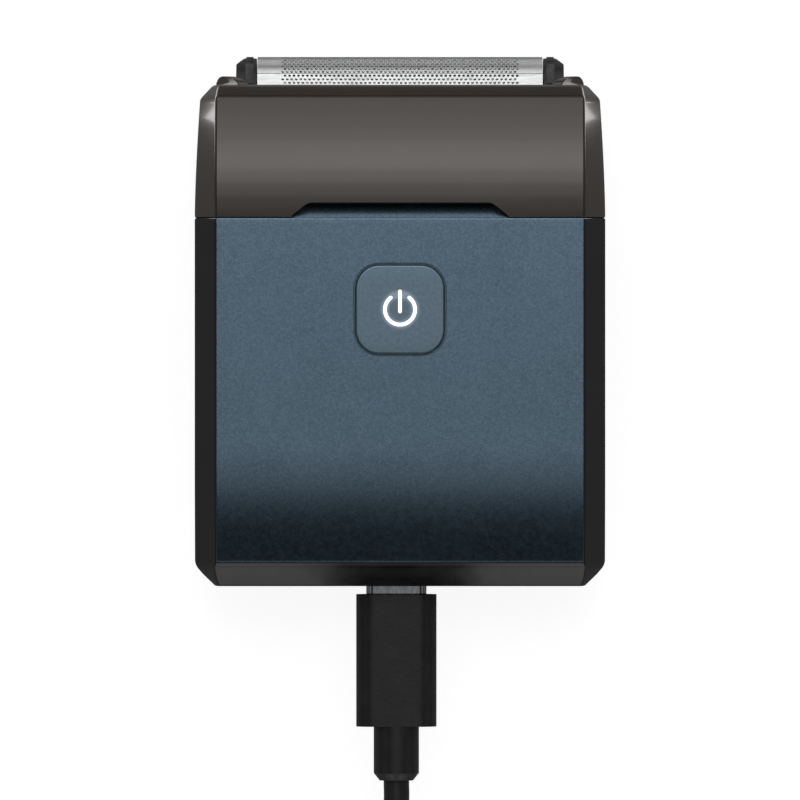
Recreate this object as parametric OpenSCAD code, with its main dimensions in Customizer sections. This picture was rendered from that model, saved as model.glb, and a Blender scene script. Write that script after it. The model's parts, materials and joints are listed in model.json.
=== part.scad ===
// Pocket foil shaver with a pull-off head, lying on its back with its charging cable plugged in.
// +X is to the right of the front face, +Y runs from the charging port to the foil and +Z is the
// way the front face looks. The back rests on Z = 0, and the origin is at half the height.

/* [Handle] */
// Width across the handle
body_w = 56; // [54:0.5:68]
// Thickness from back to front
body_d = 23; // [22.5:0.5:28]
// Height of the handle from its base to the seam under the head
handle_l = 50.2; // [49.5:0.1:62]
// Wall thickness of the metal shells and of the head cover
wall = 1.6; // [1.3:0.1:1.9]
// Chamfer along the long edges, as seen from the front
edge_x = 2.9; // [2:0.1:4]
// Chamfer along the long edges, as seen from the side
edge_z = 4.5; // [3.5:0.1:5.5]
// Chamfer around the base
base_cut = 3.1; // [2:0.1:4]
// How far the pillow-shaped faces fall away at both ends
face_drop = 2.2; // [1:0.1:2.5]
// Length over which the front face falls away above the base
base_run = 15.5; // [10:0.5:20]

/* [Head] */
// Height of the head cover above the seam
head_l = 18.2; // [17.5:0.1:20]
// Bevel around the top rim of the head cover
rim_bevel = 1.9; // [1:0.1:2.5]
// How far the head cover tapers on each side
head_taper = 0.7; // [0:0.1:1.5]
// Gap between the head cover and the handle
seam_gap = 0.25; // [0.1:0.05:0.4]
// Height of the raised ends on top of the head cover
ear_h = 1.2; // [0.5:0.1:1.5]
// Width of the thumb notch in the lower edge of the head cover
notch_w = 29.8; // [20:0.2:34]
// Height of the thumb notch
notch_h = 2.05; // [1.5:0.05:2.8]

/* [Shaving unit] */
// Height of the foil above the rim of the head cover
foil_rise = 4; // [3:0.1:4.6]
// Radius of the foil arch
foil_r = 4.4; // [4:0.1:5.3]
// Length of the foil
foil_w = 39; // [32:0.5:41]
// Thickness of the foil
foil_t = 0.15; // [0.1:0.01:0.2]
// Thickness of one cutter blade
blade_t = 0.25; // [0.2:0.05:0.4]
// Distance between cutter blades
blade_pitch = 1.01; // [0.8:0.01:1.4]
// Number of cutter blades
blade_count = 32; // [20:1:36]
// How far the foil and the cutter sink under pressure
float_travel = 1.2; // [0.5:0.1:1.4]
// Sideways stroke of the cutter, from the middle to one end
stroke = 0.75; // [0.4:0.05:0.9]

/* [Power button] */
// Width and height of the square button opening
button_w = 12.75; // [11:0.25:15.5]
// Corner radius of the button opening
button_r = 3.55; // [2:0.05:5]
// Gap around the button
button_gap = 0.3; // [0.2:0.05:0.4]
// Distance of the button's centre below the seam
button_drop = 12.5; // [10:0.5:16]
// Travel of the button
button_travel = 0.5; // [0.2:0.1:0.6]
// Outer radius of the power symbol's ring
icon_r = 2.3; // [1.8:0.1:3]
// Line width of the power symbol
icon_line = 0.5; // [0.3:0.1:0.8]

/* [Drive] */
// Width of the motor
motor_w = 15.5; // [14:0.5:16]
// Depth of the motor across its flat sides
motor_d = 12; // [11:0.5:12]
// Length of the motor can
motor_l = 25; // [22:0.5:26]
// Diameter of the motor shaft
shaft_d = 2; // [1.5:0.1:2.3]
// Diameter of the battery cell
cell_d = 14; // [11.6:0.1:14.2]
// Length of the battery cell
cell_l = 43; // [38:0.5:43]

/* [Charging port and cable] */
// Sideways place of the charging port
port_x = -0.5; // [-2:0.1:2]
// Width of the charging plug's metal shell
plug_w = 8.25; // [8.25:0.01:8.35]
// Thickness of the charging plug's metal shell
plug_t = 2.4; // [2.35:0.01:2.45]
// Width of the moulded grip on the charging plug
grip_w = 11; // [10:0.5:12.5]
// Thickness of the moulded grip
grip_t = 6.2; // [5.5:0.1:7]
// Length of the moulded grip
grip_l = 18.1; // [15:0.1:24]
// Diameter of the cable
cord_d = 3.5; // [3.5:0.1:3.5]

/* [Hidden] */
$fn = 48;
eps = 0.01;

// Main levels along Y and Z
total_l = handle_l + head_l + foil_rise;
base_y = -total_l / 2;
seam_y = base_y + handle_l;
rim_y = seam_y + head_l;
foil_top_y = rim_y + foil_rise;
mid_z = body_d / 2;
half_w = body_w / 2;
half_d = body_d / 2;
face_x = half_w - edge_x;
inner_w = half_w - wall;
inner_d = half_d - wall;
back_z = wall;
front_z = body_d - wall;

// Head cover
head_flat = 1;
bevel_y = head_l - rim_bevel;
top_wall = 1.6;
ear_top = 0.5;

// Drive head: levels along Y
deck_t = 1.6;
deck_y = seam_y - deck_t;
neck_h = 3.5;
neck_w = 2 * (half_w - 8);
neck_d = 2 * (inner_d - 1.7);
neck_top = seam_y + neck_h;
magnet_r = 1.5;
magnet_x = neck_w / 2 - 6;
magnet_z = neck_d / 2 - 2;
head_fit = 0.3;
frame_low = seam_y + 0.85;
plate_y = neck_top + 0.7;
plate_t = 2;
plate_top = plate_y + plate_t;
under_rim = rim_y - top_wall;
cassette_low = under_rim - 6.1;
cassette_seat = cassette_low + 4.3;
float_gap = 0.2;
arch_y = foil_top_y - foil_r;
crease_y = arch_y + 2.05;
skirt_z = sqrt(foil_r * foil_r - 2.05 * 2.05) + foil_t;
blade_gap = 0.2;
blade_r = foil_r - foil_t - blade_gap;
blade_half_z = skirt_z - foil_t - 0.15;
blade_y = cassette_seat + 0.7;
carrier_t = 1.9;
carrier_y = blade_y - carrier_t;
boss_y = carrier_y - 3;
rail_t = 0.95;
end_x = foil_w / 2 + 0.1;
cap_x = end_x + 2.8;
spring_x = end_x + 1.3;
cap_r = foil_r + 0.2;
opening_w = 2 * (cap_x + 0.3);
opening_d = 2 * (skirt_z + rail_t + 0.2);
ear_x = opening_w / 2 + ear_top + 0.6;

// Drive train: levels along Y below the deck
yoke_top = deck_y - 0.4;
yoke_y = yoke_top - 2.6;
pin_r = 1.2;
slot_floor = yoke_top - 1;
cam_top = yoke_y - 0.4;
cam_l = 3.4;
cam_r = 3.2;
crank_r = 0.8;
crank_top = slot_floor - 0.1;
slack = 0.1;
bracket_t = 1.5;
bracket_y = cam_top - cam_l - 0.6 - 1 - bracket_t;
can_y = bracket_y - motor_l;
bell_t = 1.5;
bush_r = 2.5;
can_wall = 0.8;
yoke_w = 18;
leg_x = yoke_w / 2 - 0.2 - 0.2;
leg_t = 0.4;
leg_y = bracket_y + bracket_t + 1.2;
shaft_r = shaft_d / 2;
shaft_fit = 0.03;

// Frame, boards and battery
floor_z = 3.3;
floor_t = 1;
floor_top = floor_z + floor_t;
frame_y = base_y + 5.2;
frame_end = deck_y - 1.4;
frame_w = 2 * (face_x - 1.1);
foot_x = frame_w / 2 - 3;
pad_t = 0.9;
cell_x = motor_w / 2 + 2.85 + cell_d / 2;
cell_z = floor_top + pad_t + cell_d / 2;
cell_y = deck_y - 0.4 - cell_l;
board_z = front_z - 3.5;
board_t = 1;
board_top = board_z + board_t;
board_x0 = -foot_x;
board_x1 = cell_x - cell_d / 2 - 0.8;
board_y0 = base_y + 9.2;
board_y1 = seam_y - 4.6;
foot_y = [seam_y - 26, seam_y - 6];
post_r = 1.6;
posts = [[board_x0 + 1.8, board_y0 + 2], [board_x0 + 1.8, board_y1 - 6],
         [board_x1 - 1.5, board_y0 + 1.2]];
button_y = seam_y - button_drop;
cap_w = button_w - 2 * button_gap;
flange_w = button_w + 1;
flange_t = 0.4;
flange_z = front_z - 0.2 - flange_t;

// Charging port and its plug
port_h = plug_t + 0.16;
port_w = plug_w + 0.1;
port_wall = 0.3;
port_out_h = port_h + 2 * port_wall;
port_out_w = port_w + 2 * port_wall;
port_y = base_y + 0.8;
port_l = 7.1;
port_back = port_y + port_l;
charge_top = mid_z - port_out_h / 2;
plug_in = 5.6;
plug_show = 1.2;
grip_y = base_y - plug_show;
boot_r = grip_t / 2;
boot_l = 7.4;
boot_end = grip_y - grip_l - boot_l;

// Cable: the lead runs down from the plug to the coil, and the tail runs from the coil to the
// second plug. The points are in order along the cable.
cord_r = cord_d / 2;
tie_t = 0.4;
coil_x = 0;
coil_y = -112;
coil_mid_r = 19.5;
coil_w = 3 * cord_d;
coil_h = 2 * cord_d;
lead_points = [
    [-0.5, -62.9, 11.5], [-0.5, -66, 11.5], [-1.3, -71.5, 11.2], [-3.5, -76.6, 10.3],
    [-7.1, -80.9, 8.9], [-11.7, -84, 6.8], [-16.4, -87.1, 4.8], [-20, -91.4, 3.4],
    [-22.2, -96.5, 2.5], [-23, -102, 2.2]
];
tail_points = [
    [-23, -120.5, 5.6], [-22.9, -125, 5.4], [-22.5, -129, 4.9], [-21.7, -133, 4.2],
    [-21.1, -137, 3.7], [-21, -141, 3.6]
];

// Second plug, at the end of the tail
plug_a_x = -21;
plug_a_z = 3.6;
plug_a_y = -141;
boot_a_l = 6;
grip_a_w = 14;
grip_a_l = 19;
grip_a_y = plug_a_y - boot_a_l - grip_a_l;
shell_a_w = 12;
shell_a_t = 4.5;
shell_a_l = 12;

// Distance that an arc of a given radius falls over a given run
function sagitta(r, run) = r - sqrt(r * r - run * run);
// Radius of the arc that falls by drop over run
function arc_radius(run, drop) = (run * run + drop * drop) / (2 * drop);
// Half depth of the handle at a height above its base
function handle_h(y) =
    let (flat = base_cut + base_run)
    half_d - (y < flat ? sagitta(arc_radius(base_run, face_drop), flat - y) : 0);
// Half depth of the head cover at a height above the seam
function head_h(y) =
    half_d - (y > head_flat
        ? sagitta(arc_radius(bevel_y - head_flat, face_drop), y - head_flat) : 0);
// Half width of the head cover at a height above the seam
function head_w(y) = half_w - head_taper * pow(max(0, y) / bevel_y, 1.5);

// Slices of the handle: [height, half width, half depth, half width of the face, chamfer depth]
function base_slice(t) =
    let (w = half_w - edge_x * pow(1 - t, 1.3))
    [t * base_cut, w, handle_h(base_cut) - base_cut * (1 - t), w - (1 + (edge_x - 1) * t),
     1 + (edge_z - 1) * t];
function handle_slices(low) = concat(
    [for (t = [low, 0.7, 0.85]) base_slice(t)],
    [for (y = [0, 2.5, 5, 8, 11.5, base_run, handle_l - base_cut])
        [base_cut + y, half_w, handle_h(base_cut + y), face_x, edge_z]]);
// Slices of the head cover, in the same form
function head_slices(low, rim, rim_w, rim_h) = concat(
    [for (y = [low, head_flat, 4, 7, 10, 13, bevel_y])
        [y, head_w(y), head_h(y), face_x, edge_z]],
    [[rim, rim_w, rim_h, rim_w - 0.6, 2.4]]);

// Round cross-section swept along a list of points, with its rings kept square to ref
function unit(v) = v / norm(v);
function tangent(p, i) = unit(p[min(i + 1, len(p) - 1)] - p[max(i - 1, 0)]);
function ring(p, i, r, sides, ref) =
    let (t = tangent(p, i), u = unit(cross(t, ref)), v = cross(u, t))
    [for (k = [0 : sides - 1]) p[i] + r * (cos(360 * k / sides) * u + sin(360 * k / sides) * v)];
module sweep(p, r, ref = [0, 0, 1], sides = 8) {
    n = len(p);
    points = [for (i = [0 : n - 1]) each ring(p, i, r, sides, ref)];
    walls = [for (i = [0 : n - 2], k = [0 : sides - 1])
        let (a = i * sides + k, b = i * sides + (k + 1) % sides)
        each [[a, b, b + sides], [a, b + sides, a + sides]]];
    start = [for (k = [0 : sides - 1]) sides - 1 - k];
    end = [for (k = [0 : sides - 1]) (n - 1) * sides + k];
    polyhedron(points, concat([start], walls, [end]));
}

// Flat shape in X and Z, extruded along Y from y0 to y1 about the middle of the depth
module along_y(y0, y1, x = 0, z = mid_z)
    translate([x, y1, z]) rotate([90, 0, 0]) linear_extrude(y1 - y0) children();
// Flat shape in Y and Z, extruded along X
module along_x(x0, x1)
    translate([x0, 0, 0]) rotate([90, 0, 90]) linear_extrude(x1 - x0) children();
// Flat shape in X and Y, extruded along Z
module along_z(z0, z1)
    translate([0, 0, z0]) linear_extrude(z1 - z0) children();
module rounded(w, h, r) {
    square([w - 2 * r, h], center = true);
    square([w, h - 2 * r], center = true);
    for (x = [-1, 1], y = [-1, 1]) translate([x * (w / 2 - r), y * (h / 2 - r)]) circle(r);
}
module tube(outer, inner) {
    difference() {
        circle(outer);
        circle(inner);
    }
}
module both_sides() {
    children();
    mirror([1, 0, 0]) children();
}
// Children at mid depth, in front of it and mirrored behind it
module front_and_back() {
    children();
    translate([0, 0, 2 * mid_z]) mirror([0, 0, 1]) children();
}

// Eight-sided cross-section with its corners cut
module octagon(w, h, face, cut)
    polygon([[face, h], [w, h - cut], [w, cut - h], [face, -h],
             [-face, -h], [-w, cut - h], [-w, h - cut], [-face, h]]);
// Convex body through a list of slices, drawn in by inset
module pillow(slices, y0, inset = 0)
    hull() for (s = slices)
        translate([0, y0 + s[0], mid_z]) rotate([90, 0, 0]) linear_extrude(eps, center = true)
            octagon(s[1] - inset, s[2] - inset, s[3] - 0.545 * inset,
                    max(0.1, s[4] - 0.707 * inset));

// Handle shells
module handle_skin() {
    difference() {
        pillow(handle_slices(0), base_y);
        pillow(concat(handle_slices(wall / base_cut),
            [[handle_l + 1, half_w, half_d, face_x, edge_z]]), base_y, wall);
        along_y(base_y - 1, base_y + wall + 1, port_x)
            rounded(port_out_w + 0.3, port_out_h + 0.3, (port_out_h + 0.3) / 2 - eps);
    }
}
module half_space(front) {
    z0 = front ? mid_z : -1;
    translate([-body_w, base_y - 1, z0]) cube([2 * body_w, handle_l + 4, mid_z + 1]);
}
// Sloped catch for a thumbnail, behind the notch of the head cover
module thumb_lip() {
    low = notch_w / 2 - 0.2;
    high = low - notch_h - 0.2;
    top = seam_y + notch_h - 0.2;
    intersection() {
        along_z(front_z - 1.2, body_d)
            polygon([[-low, seam_y], [low, seam_y], [high, top], [-high, top]]);
        along_x(-half_w, half_w)
            polygon([[seam_y - 1, front_z - 1.2], [top, front_z - 1.2], [top, front_z - 0.3],
                     [seam_y, body_d - 0.15], [seam_y - 1, body_d - 0.15]]);
    }
}
module front_shell() color("#4d5e6e") {
    difference() {
        union() {
            intersection() {
                handle_skin();
                half_space(true);
            }
            thumb_lip();
            translate([1 - notch_w / 2, seam_y - 1.2, front_z - 1.2])
                cube([notch_w - 2, 1.2, 1.2 + eps]);
        }
        along_z(front_z - 1, body_d + 1) translate([0, button_y])
            rounded(button_w, button_w, button_r);
    }
}
module rear_shell() color("#465664") {
    difference() {
        intersection() {
            handle_skin();
            half_space(false);
        }
        for (x = [-foot_x, foot_x], y = foot_y)
            translate([x, y, 0.7]) cylinder(h = wall, r = 0.8);
    }
}

// Deck that closes the handle, with the neck that the head slips over
module top_deck() color("#1d1d1f") {
    difference() {
        union() {
            along_y(deck_y, seam_y) difference() {
                octagon(inner_w, inner_d, face_x - 0.545 * wall, edge_z - 0.707 * wall);
                translate([0, inner_d - 0.6]) square([notch_w - 2, 1.2 + 2 * eps], center = true);
            }
            along_y(seam_y, neck_top) rounded(neck_w, neck_d, 3);
        }
        along_y(deck_y - 1, neck_top - 1.5) square([22, 9], center = true);
        along_y(neck_top - 2, neck_top + 1)
            rounded(2 * (pin_r + stroke) + 0.7, 2 * pin_r + 0.7, pin_r + 0.3);
        along_y(neck_top - 0.8, neck_top + 1) circle(5);
        for (x = [-magnet_x, magnet_x], z = [-magnet_z, magnet_z])
            along_y(neck_top - 2, neck_top + 1, x, mid_z + z) circle(magnet_r);
    }
}
module neck_gasket() color("#2b2b2b") {
    along_y(seam_y, seam_y + 0.7) difference() {
        rounded(neck_w + 3, neck_d + 0.9, 3.4);
        rounded(neck_w, neck_d, 3);
    }
}
module neck_magnets() color("silver") {
    for (x = [-magnet_x, magnet_x], z = [-magnet_z, magnet_z])
        along_y(neck_top - 2, neck_top, x, mid_z + z) circle(magnet_r);
}
module shaft_seal() color("#5a2020") {
    along_y(neck_top - 0.8, neck_top) difference() {
        circle(5);
        rounded(2 * (pin_r + stroke) + 0.7, 2 * pin_r + 0.7, pin_r + 0.3);
    }
}

// Frame that carries the motor, the boards and the battery
module inner_frame() color("#303236") {
    difference() {
        union() {
            translate([-frame_w / 2, frame_y, floor_z])
                cube([frame_w, frame_end - frame_y, floor_t]);
            for (x = [-foot_x, foot_x], y = foot_y)
                translate([x, y, back_z]) cylinder(h = floor_z - back_z + eps, r = 2.2);
            for (p = posts)
                translate([p[0], p[1], floor_top - eps])
                    cylinder(h = board_z - floor_top + eps, r = post_r);
            for (x = [-6, 4])
                translate([port_x + x, frame_y, floor_top - eps])
                    cube([2, 2, charge_top - 0.8 - floor_top + eps]);
            for (y = [cell_y + 7, cell_y + cell_l - 9])
                translate([cell_x - 6.2, y, floor_top - eps]) cube([12.4, 2, 4.5]);
        }
        along_y(frame_y - 1, seam_y, cell_x, cell_z) circle(cell_d / 2 + 0.05);
        for (x = [-foot_x, foot_x], y = foot_y)
            translate([x, y, 0]) cylinder(h = floor_top + 1, r = 0.8);
        for (p = posts)
            translate([p[0], p[1], board_z - 4]) cylinder(h = 5, r = 0.7);
    }
}
module screw(z0, z1, r, head_r, head_t) {
    translate([0, 0, z0]) cylinder(h = z1 - z0 + eps, r = r);
    translate([0, 0, z1]) difference() {
        cylinder(h = head_t, r = head_r);
        translate([0, 0, head_t]) cube([head_r * 1.2, 0.3, head_t], center = true);
        translate([0, 0, head_t]) cube([0.3, head_r * 1.2, head_t], center = true);
    }
}
module frame_screws() color("#c8c8c8") {
    for (x = [-foot_x, foot_x], y = foot_y)
        translate([x, y, 0]) screw(0.7, floor_top, 0.8, 1.5, 0.8);
    for (p = posts)
        translate([p[0], p[1], 0]) screw(board_z - 4, board_top, 0.7, 1.3, 0.7);
}

// Circuit boards
module main_board() color("#1f5a3a") {
    difference() {
        translate([board_x0, board_y0, board_z])
            cube([board_x1 - board_x0, board_y1 - board_y0, board_t]);
        for (p = posts)
            translate([p[0], p[1], board_z - 1]) cylinder(h = board_t + 2, r = 0.7);
    }
}
module board_chips() color("#18181a") {
    chips = [[-13, -14, 5, 5, 0.9], [-13, -21, 3, 3, 0.8], [2, -16, 6, 4, 1], [-6, -20, 2, 1.2, 0.6],
             [-14, -4, 4, 3, 0.8], [-7, -10, 1.6, 0.8, 0.5], [-17, -9, 1.6, 0.8, 0.5]];
    for (c = chips)
        translate([c[0] - c[2] / 2, c[1] - c[3] / 2, board_top]) cube([c[2], c[3], c[4]]);
}
module tact_switch() color("#b8b8ba") {
    difference() {
        translate([-2.6, button_y - 2.6, board_top]) cube([5.2, 5.2, 1.4]);
        translate([0, button_y, board_top + 0.05]) cylinder(h = 3, r = 1.3);
    }
}
module status_led() color("white") {
    translate([-4.4, button_y - 0.4, board_top]) cube([1.6, 0.8, 0.6]);
}
module button_seal() color("#232325") {
    along_z(front_z - 1.1, front_z) translate([0, button_y]) difference() {
        rounded(flange_w + 1.8, flange_w + 1.8, button_r + 1);
        rounded(flange_w + 0.5, flange_w + 0.5, button_r + 0.6);
    }
}
module charge_board() color("#1f5a3a") {
    translate([port_x - 7, base_y + 2.6, charge_top - 0.8]) cube([14, 8.4, 0.8]);
}
module usb_c_receptacle() color("silver") {
    along_y(port_y, port_back, port_x) difference() {
        rounded(port_out_w, port_out_h, port_out_h / 2 - eps);
        rounded(port_w, port_h, port_h / 2 - eps);
    }
    along_y(port_back - 0.7, port_back, port_x)
        rounded(port_w + 0.1, port_h + 0.1, port_h / 2 - eps);
}
module usb_c_tongue() color("#17171a") {
    along_y(port_y + 0.8, port_back - 0.7, port_x) square([6.6, 0.7], center = true);
}

// Battery and its wiring
module battery_cell() color("#3d7fae") {
    along_y(cell_y, cell_y + cell_l, cell_x, cell_z) circle(cell_d / 2);
}
module battery_tabs() color("#c9c9c4") {
    along_y(cell_y - 0.2, cell_y, cell_x, cell_z) square([8, 4], center = true);
    along_y(cell_y + cell_l, cell_y + cell_l + 0.2, cell_x, cell_z) square([8, 4], center = true);
}
module battery_pad() color("#1a1a1a") {
    translate([cell_x - 3, cell_y + 11, floor_top]) cube([4.5, cell_l - 22, pad_t]);
}
module wire_leads() color("#a02020") {
    y = can_y - bell_t;
    for (x = [-3.4, 3.4])
        sweep([[x, y - 0.05, mid_z + 3.3], [x, y - 0.7, mid_z + 3.3], [x, y - 1.2, mid_z + 4],
               [x, y - 1.4, mid_z + 5], [x, y - 1.4, board_z - 0.1]], 0.45, [1, 0, 0], 6);
    for (x = [-6.5, -5.2])
        sweep([[x, board_y0 + 1.2, charge_top + 0.1], [x, board_y0 + 1.6, mid_z + 2],
               [x, board_y0 + 1.2, board_z - 0.1]], 0.45, [1, 0, 0], 6);
    sweep([[cell_x - 3.5, cell_y - 0.65, cell_z], [cell_x - 5.5, cell_y - 0.7, cell_z + 4],
           [board_x1 + 0.4, cell_y + 0.8, board_z - 0.2], [board_x1 + 0.9, cell_y + 4, board_top + 0.9],
           [board_x1 - 0.4, cell_y + 9, board_top + 0.55]], 0.45, [1, 0, 0], 6);
}

// Motor
module motor_profile(inset = 0) {
    intersection() {
        circle(motor_w / 2 - inset);
        square([motor_w, motor_d - 2 * inset], center = true);
    }
}
module motor_can() color("#b9bcc0") {
    difference() {
        along_y(can_y, bracket_y) motor_profile();
        along_y(can_y - 1, bracket_y - can_wall) motor_profile(can_wall);
        along_y(bracket_y - 2, bracket_y + 1) circle(bush_r);
        for (x = [-5.2, 5.2]) along_y(bracket_y - 2, bracket_y + 1, x) circle(0.8);
    }
}
module motor_end_bell() color("#e8e4d8") {
    along_y(can_y - bell_t, can_y) difference() {
        motor_profile();
        circle(bush_r);
    }
}
module motor_magnets() color("#3a3a3c") {
    along_y(can_y + 4, bracket_y - 2.5) intersection() {
        tube(motor_w / 2 - can_wall, motor_w / 2 - can_wall - 1.3);
        square([motor_w, 8], center = true);
    }
}
module motor_bushings() color("#b08d57") {
    along_y(bracket_y - can_wall, bracket_y + bracket_t) tube(bush_r, shaft_r + shaft_fit);
    along_y(can_y - bell_t - 0.8, can_y) tube(bush_r, shaft_r + shaft_fit);
}
module motor_bracket() color("#9a9ca0") {
    difference() {
        union() {
            translate([-9.6, bracket_y, floor_top])
                cube([19.2, bracket_t, board_z - 0.2 - floor_top]);
            translate([-7, bracket_y - 9, floor_top])
                cube([14, 9 + bracket_t, mid_z - motor_d / 2 - floor_top - 0.1]);
        }
        along_y(bracket_y - 1, bracket_y + bracket_t + 1) circle(bush_r + 0.05);
        for (x = [-5.2, 5.2]) along_y(bracket_y - 1, bracket_y + bracket_t + 1, x) circle(0.85);
    }
}
module motor_screws() color("#c8c8c8") {
    for (x = [-5.2, 5.2]) translate([x, bracket_y + bracket_t, mid_z]) rotate([-90, 0, 0])
        screw(-3, 0, 0.75, 1.3, 0.8);
}
module motor_shaft() color("#d8d8da") {
    along_y(can_y - bell_t - 1.2, cam_top) circle(shaft_r);
}
module poles() for (a = [90, 210, 330]) rotate(a) children();
module pole_arm() translate([1, -0.9]) square([3.4, 1.8]);
module armature_core() color("#6d6f73") {
    along_y(can_y + 6, bracket_y - 5) difference() {
        union() {
            circle(shaft_r + 0.9);
            poles() pole_arm();
            poles() intersection() {
                tube(4.9, 4.2);
                polygon([[0, 0], [8, -8], [8, 8]]);
            }
        }
        circle(shaft_r);
    }
}
module armature_windings() color("#b5651d") {
    along_y(can_y + 6, bracket_y - 5) poles() difference() {
        translate([2.2, -1.7]) square([1.5, 3.4]);
        pole_arm();
    }
}
module commutator() color("#c27a3a") {
    along_y(can_y + 2, can_y + 4.5) tube(2, shaft_r);
}
module eccentric_cam() color("#e6e2d6") {
    along_y(cam_top - cam_l, cam_top) tube(cam_r, shaft_r);
    along_y(cam_top, crank_top, 0, mid_z + stroke) circle(crank_r);
}

// Bridge that turns the crank's circle into a sideways stroke
module bridge_base() color("#2a2b2e") {
    both_sides() along_y(bracket_y + bracket_t, leg_y, leg_x) square([1.6, 7.4], center = true);
}
module flexure_legs() color("#3a3b3e") {
    both_sides() along_y(leg_y, yoke_y, leg_x) square([leg_t, 6.8], center = true);
}
module drive_yoke() color("#d8d4c8") {
    difference() {
        along_y(yoke_y, yoke_top) square([yoke_w, 8], center = true);
        along_y(yoke_y - 1, slot_floor)
            square([2 * (2 * stroke + crank_r + slack), 2 * (stroke + crank_r + slack)],
                   center = true);
        along_y(slot_floor + 0.2, yoke_top + 1) circle(pin_r);
    }
}
module drive_pin() color("#cfd1d4") {
    along_y(slot_floor + 0.2, carrier_y - 0.4) circle(pin_r);
    along_y(plate_top + 0.4, plate_top + 1) tube(2.1, pin_r - eps);
}

// Helical compression spring between two seats
module coil_spring(x, y0, y1, r, wire, turns) {
    steps = 10;
    n = turns * steps;
    low = y0 + 0.866 * wire;
    high = y1 - 0.866 * wire;
    sweep([for (i = [0 : n])
        [x + r * cos(360 * i / steps), low + (high - low) * i / n, mid_z + r * sin(360 * i / steps)]],
        wire, [0, 1, 0], 6);
}
module cutter_spring() color("#b9bcc0")
    coil_spring(0, plate_top + 1, boss_y, 1.75, 0.2, 4);
module float_springs() color("#b9bcc0")
    for (x = [-spring_x, spring_x]) coil_spring(x, plate_top, cassette_low, 1.1, 0.18, 5);

// Cutter
module cutter_carrier() color("#dcdcd6") {
    difference() {
        union() {
            along_y(carrier_y, blade_y) square([blade_count * blade_pitch + 1, 5], center = true);
            along_y(boss_y, carrier_y + eps) circle(2.5);
        }
        along_y(boss_y - 1, carrier_y - 0.4 + float_travel + 0.2) circle(pin_r + 0.05);
    }
}
module blade() {
    intersection() {
        difference() {
            translate([arch_y, mid_z]) circle(blade_r);
            intersection() {
                translate([arch_y, mid_z]) circle(blade_r - 0.9);
                translate([blade_y + 0.7, mid_z - foil_r]) square(2 * foil_r);
            }
        }
        translate([blade_y, mid_z - blade_half_z]) square([3 * foil_r, 2 * blade_half_z]);
    }
}
module cutter_blades() color("#cfd3d8") {
    first = -(blade_count - 1) / 2 * blade_pitch;
    for (i = [0 : blade_count - 1])
        along_x(first + i * blade_pitch - blade_t / 2, first + i * blade_pitch + blade_t / 2)
            blade();
}

// Head
module raised_end() {
    top = rim_y + ear_h;
    rim_half_d = head_h(bevel_y) - rim_bevel;
    hull() {
        translate([face_x - 4.5, rim_y - eps, mid_z - rim_half_d])
            cube([4.6, eps, 2 * rim_half_d]);
        translate([ear_x - ear_top, top - eps, mid_z - rim_half_d + 2.4])
            cube([2 * ear_top, eps, 2 * rim_half_d - 4.8]);
    }
}
module head_cover() color("#5d5854") {
    rim_half_w = head_w(bevel_y) - rim_bevel + 0.1;
    rim_half_d = head_h(bevel_y) - rim_bevel;
    inner_rim_w = head_w(bevel_y) - wall - 0.9;
    inner_rim_d = head_h(bevel_y) - wall - 0.9;
    difference() {
        union() {
            pillow(head_slices(seam_gap, head_l, rim_half_w, rim_half_d), seam_y);
            both_sides() raised_end();
        }
        pillow(head_slices(-1, head_l - top_wall + wall - 1.6, inner_rim_w + wall,
            inner_rim_d + wall), seam_y, wall);
        along_y(under_rim - 1, rim_y + 3) rounded(opening_w, opening_d, 1);
        along_z(mid_z + 5, body_d + 1) polygon([
            [-notch_w / 2, seam_y - 1], [-notch_w / 2, seam_y], [0.4 + notch_h - notch_w / 2,
            seam_y + notch_h], [notch_w / 2 - notch_h - 0.4, seam_y + notch_h],
            [notch_w / 2, seam_y], [notch_w / 2, seam_y - 1]]);
    }
}
module head_frame() color("#232426") {
    difference() {
        union() {
            along_y(plate_y, plate_top) rounded(frame_w, 2 * inner_d - 1.4, 3);
            along_y(frame_low, plate_y + eps) difference() {
                rounded(neck_w + 2 * head_fit + 2.4, neck_d + 2 * head_fit + 1.6, 4);
                rounded(neck_w + 2 * head_fit, neck_d + 2 * head_fit, 3);
                translate([0, inner_d]) square([notch_w, 3], center = true);
            }
            both_sides() translate([opening_w / 2 + 0.2, plate_top - eps, mid_z - 5.5])
                cube([1, under_rim - plate_top + eps, 11]);
        }
        along_y(plate_y - 1, plate_top + 1) square([2 * (end_x - 1.4), 8.4], center = true);
    }
}
module strike_plates() color("#a8aaad") {
    for (x = [-magnet_x, magnet_x], z = [-magnet_z, magnet_z])
        along_y(plate_y - 0.5, plate_y, x, mid_z + z) circle(magnet_r + 0.3);
}

// Foil cassette
module cassette_frame() color("#1b1b1d") {
    front_and_back() {
        translate([-end_x, cassette_low, mid_z + skirt_z])
            cube([2 * end_x, rim_y - 0.6 - cassette_low, rail_t]);
        translate([1.5 - end_x, under_rim - float_gap - 1.5, mid_z + skirt_z + rail_t - eps])
            cube([2 * end_x - 3, 1.5, 1.3]);
    }
    both_sides() translate([end_x - eps, cassette_low, mid_z - skirt_z - rail_t])
        cube([2.7, cassette_seat - cassette_low, 2 * (skirt_z + rail_t)]);
}
module foil_profile() {
    intersection() {
        translate([arch_y, mid_z]) tube(foil_r, foil_r - foil_t);
        translate([crease_y, mid_z - foil_r]) square(2 * foil_r);
    }
    for (z = [mid_z - skirt_z, mid_z + skirt_z - foil_t - 0.04])
        translate([cassette_low + 1, z]) square([crease_y + 0.1 - cassette_low - 1, foil_t + 0.04]);
}
module foil() color("#c4c6c8")
    along_x(-foil_w / 2, foil_w / 2) foil_profile();
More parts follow.
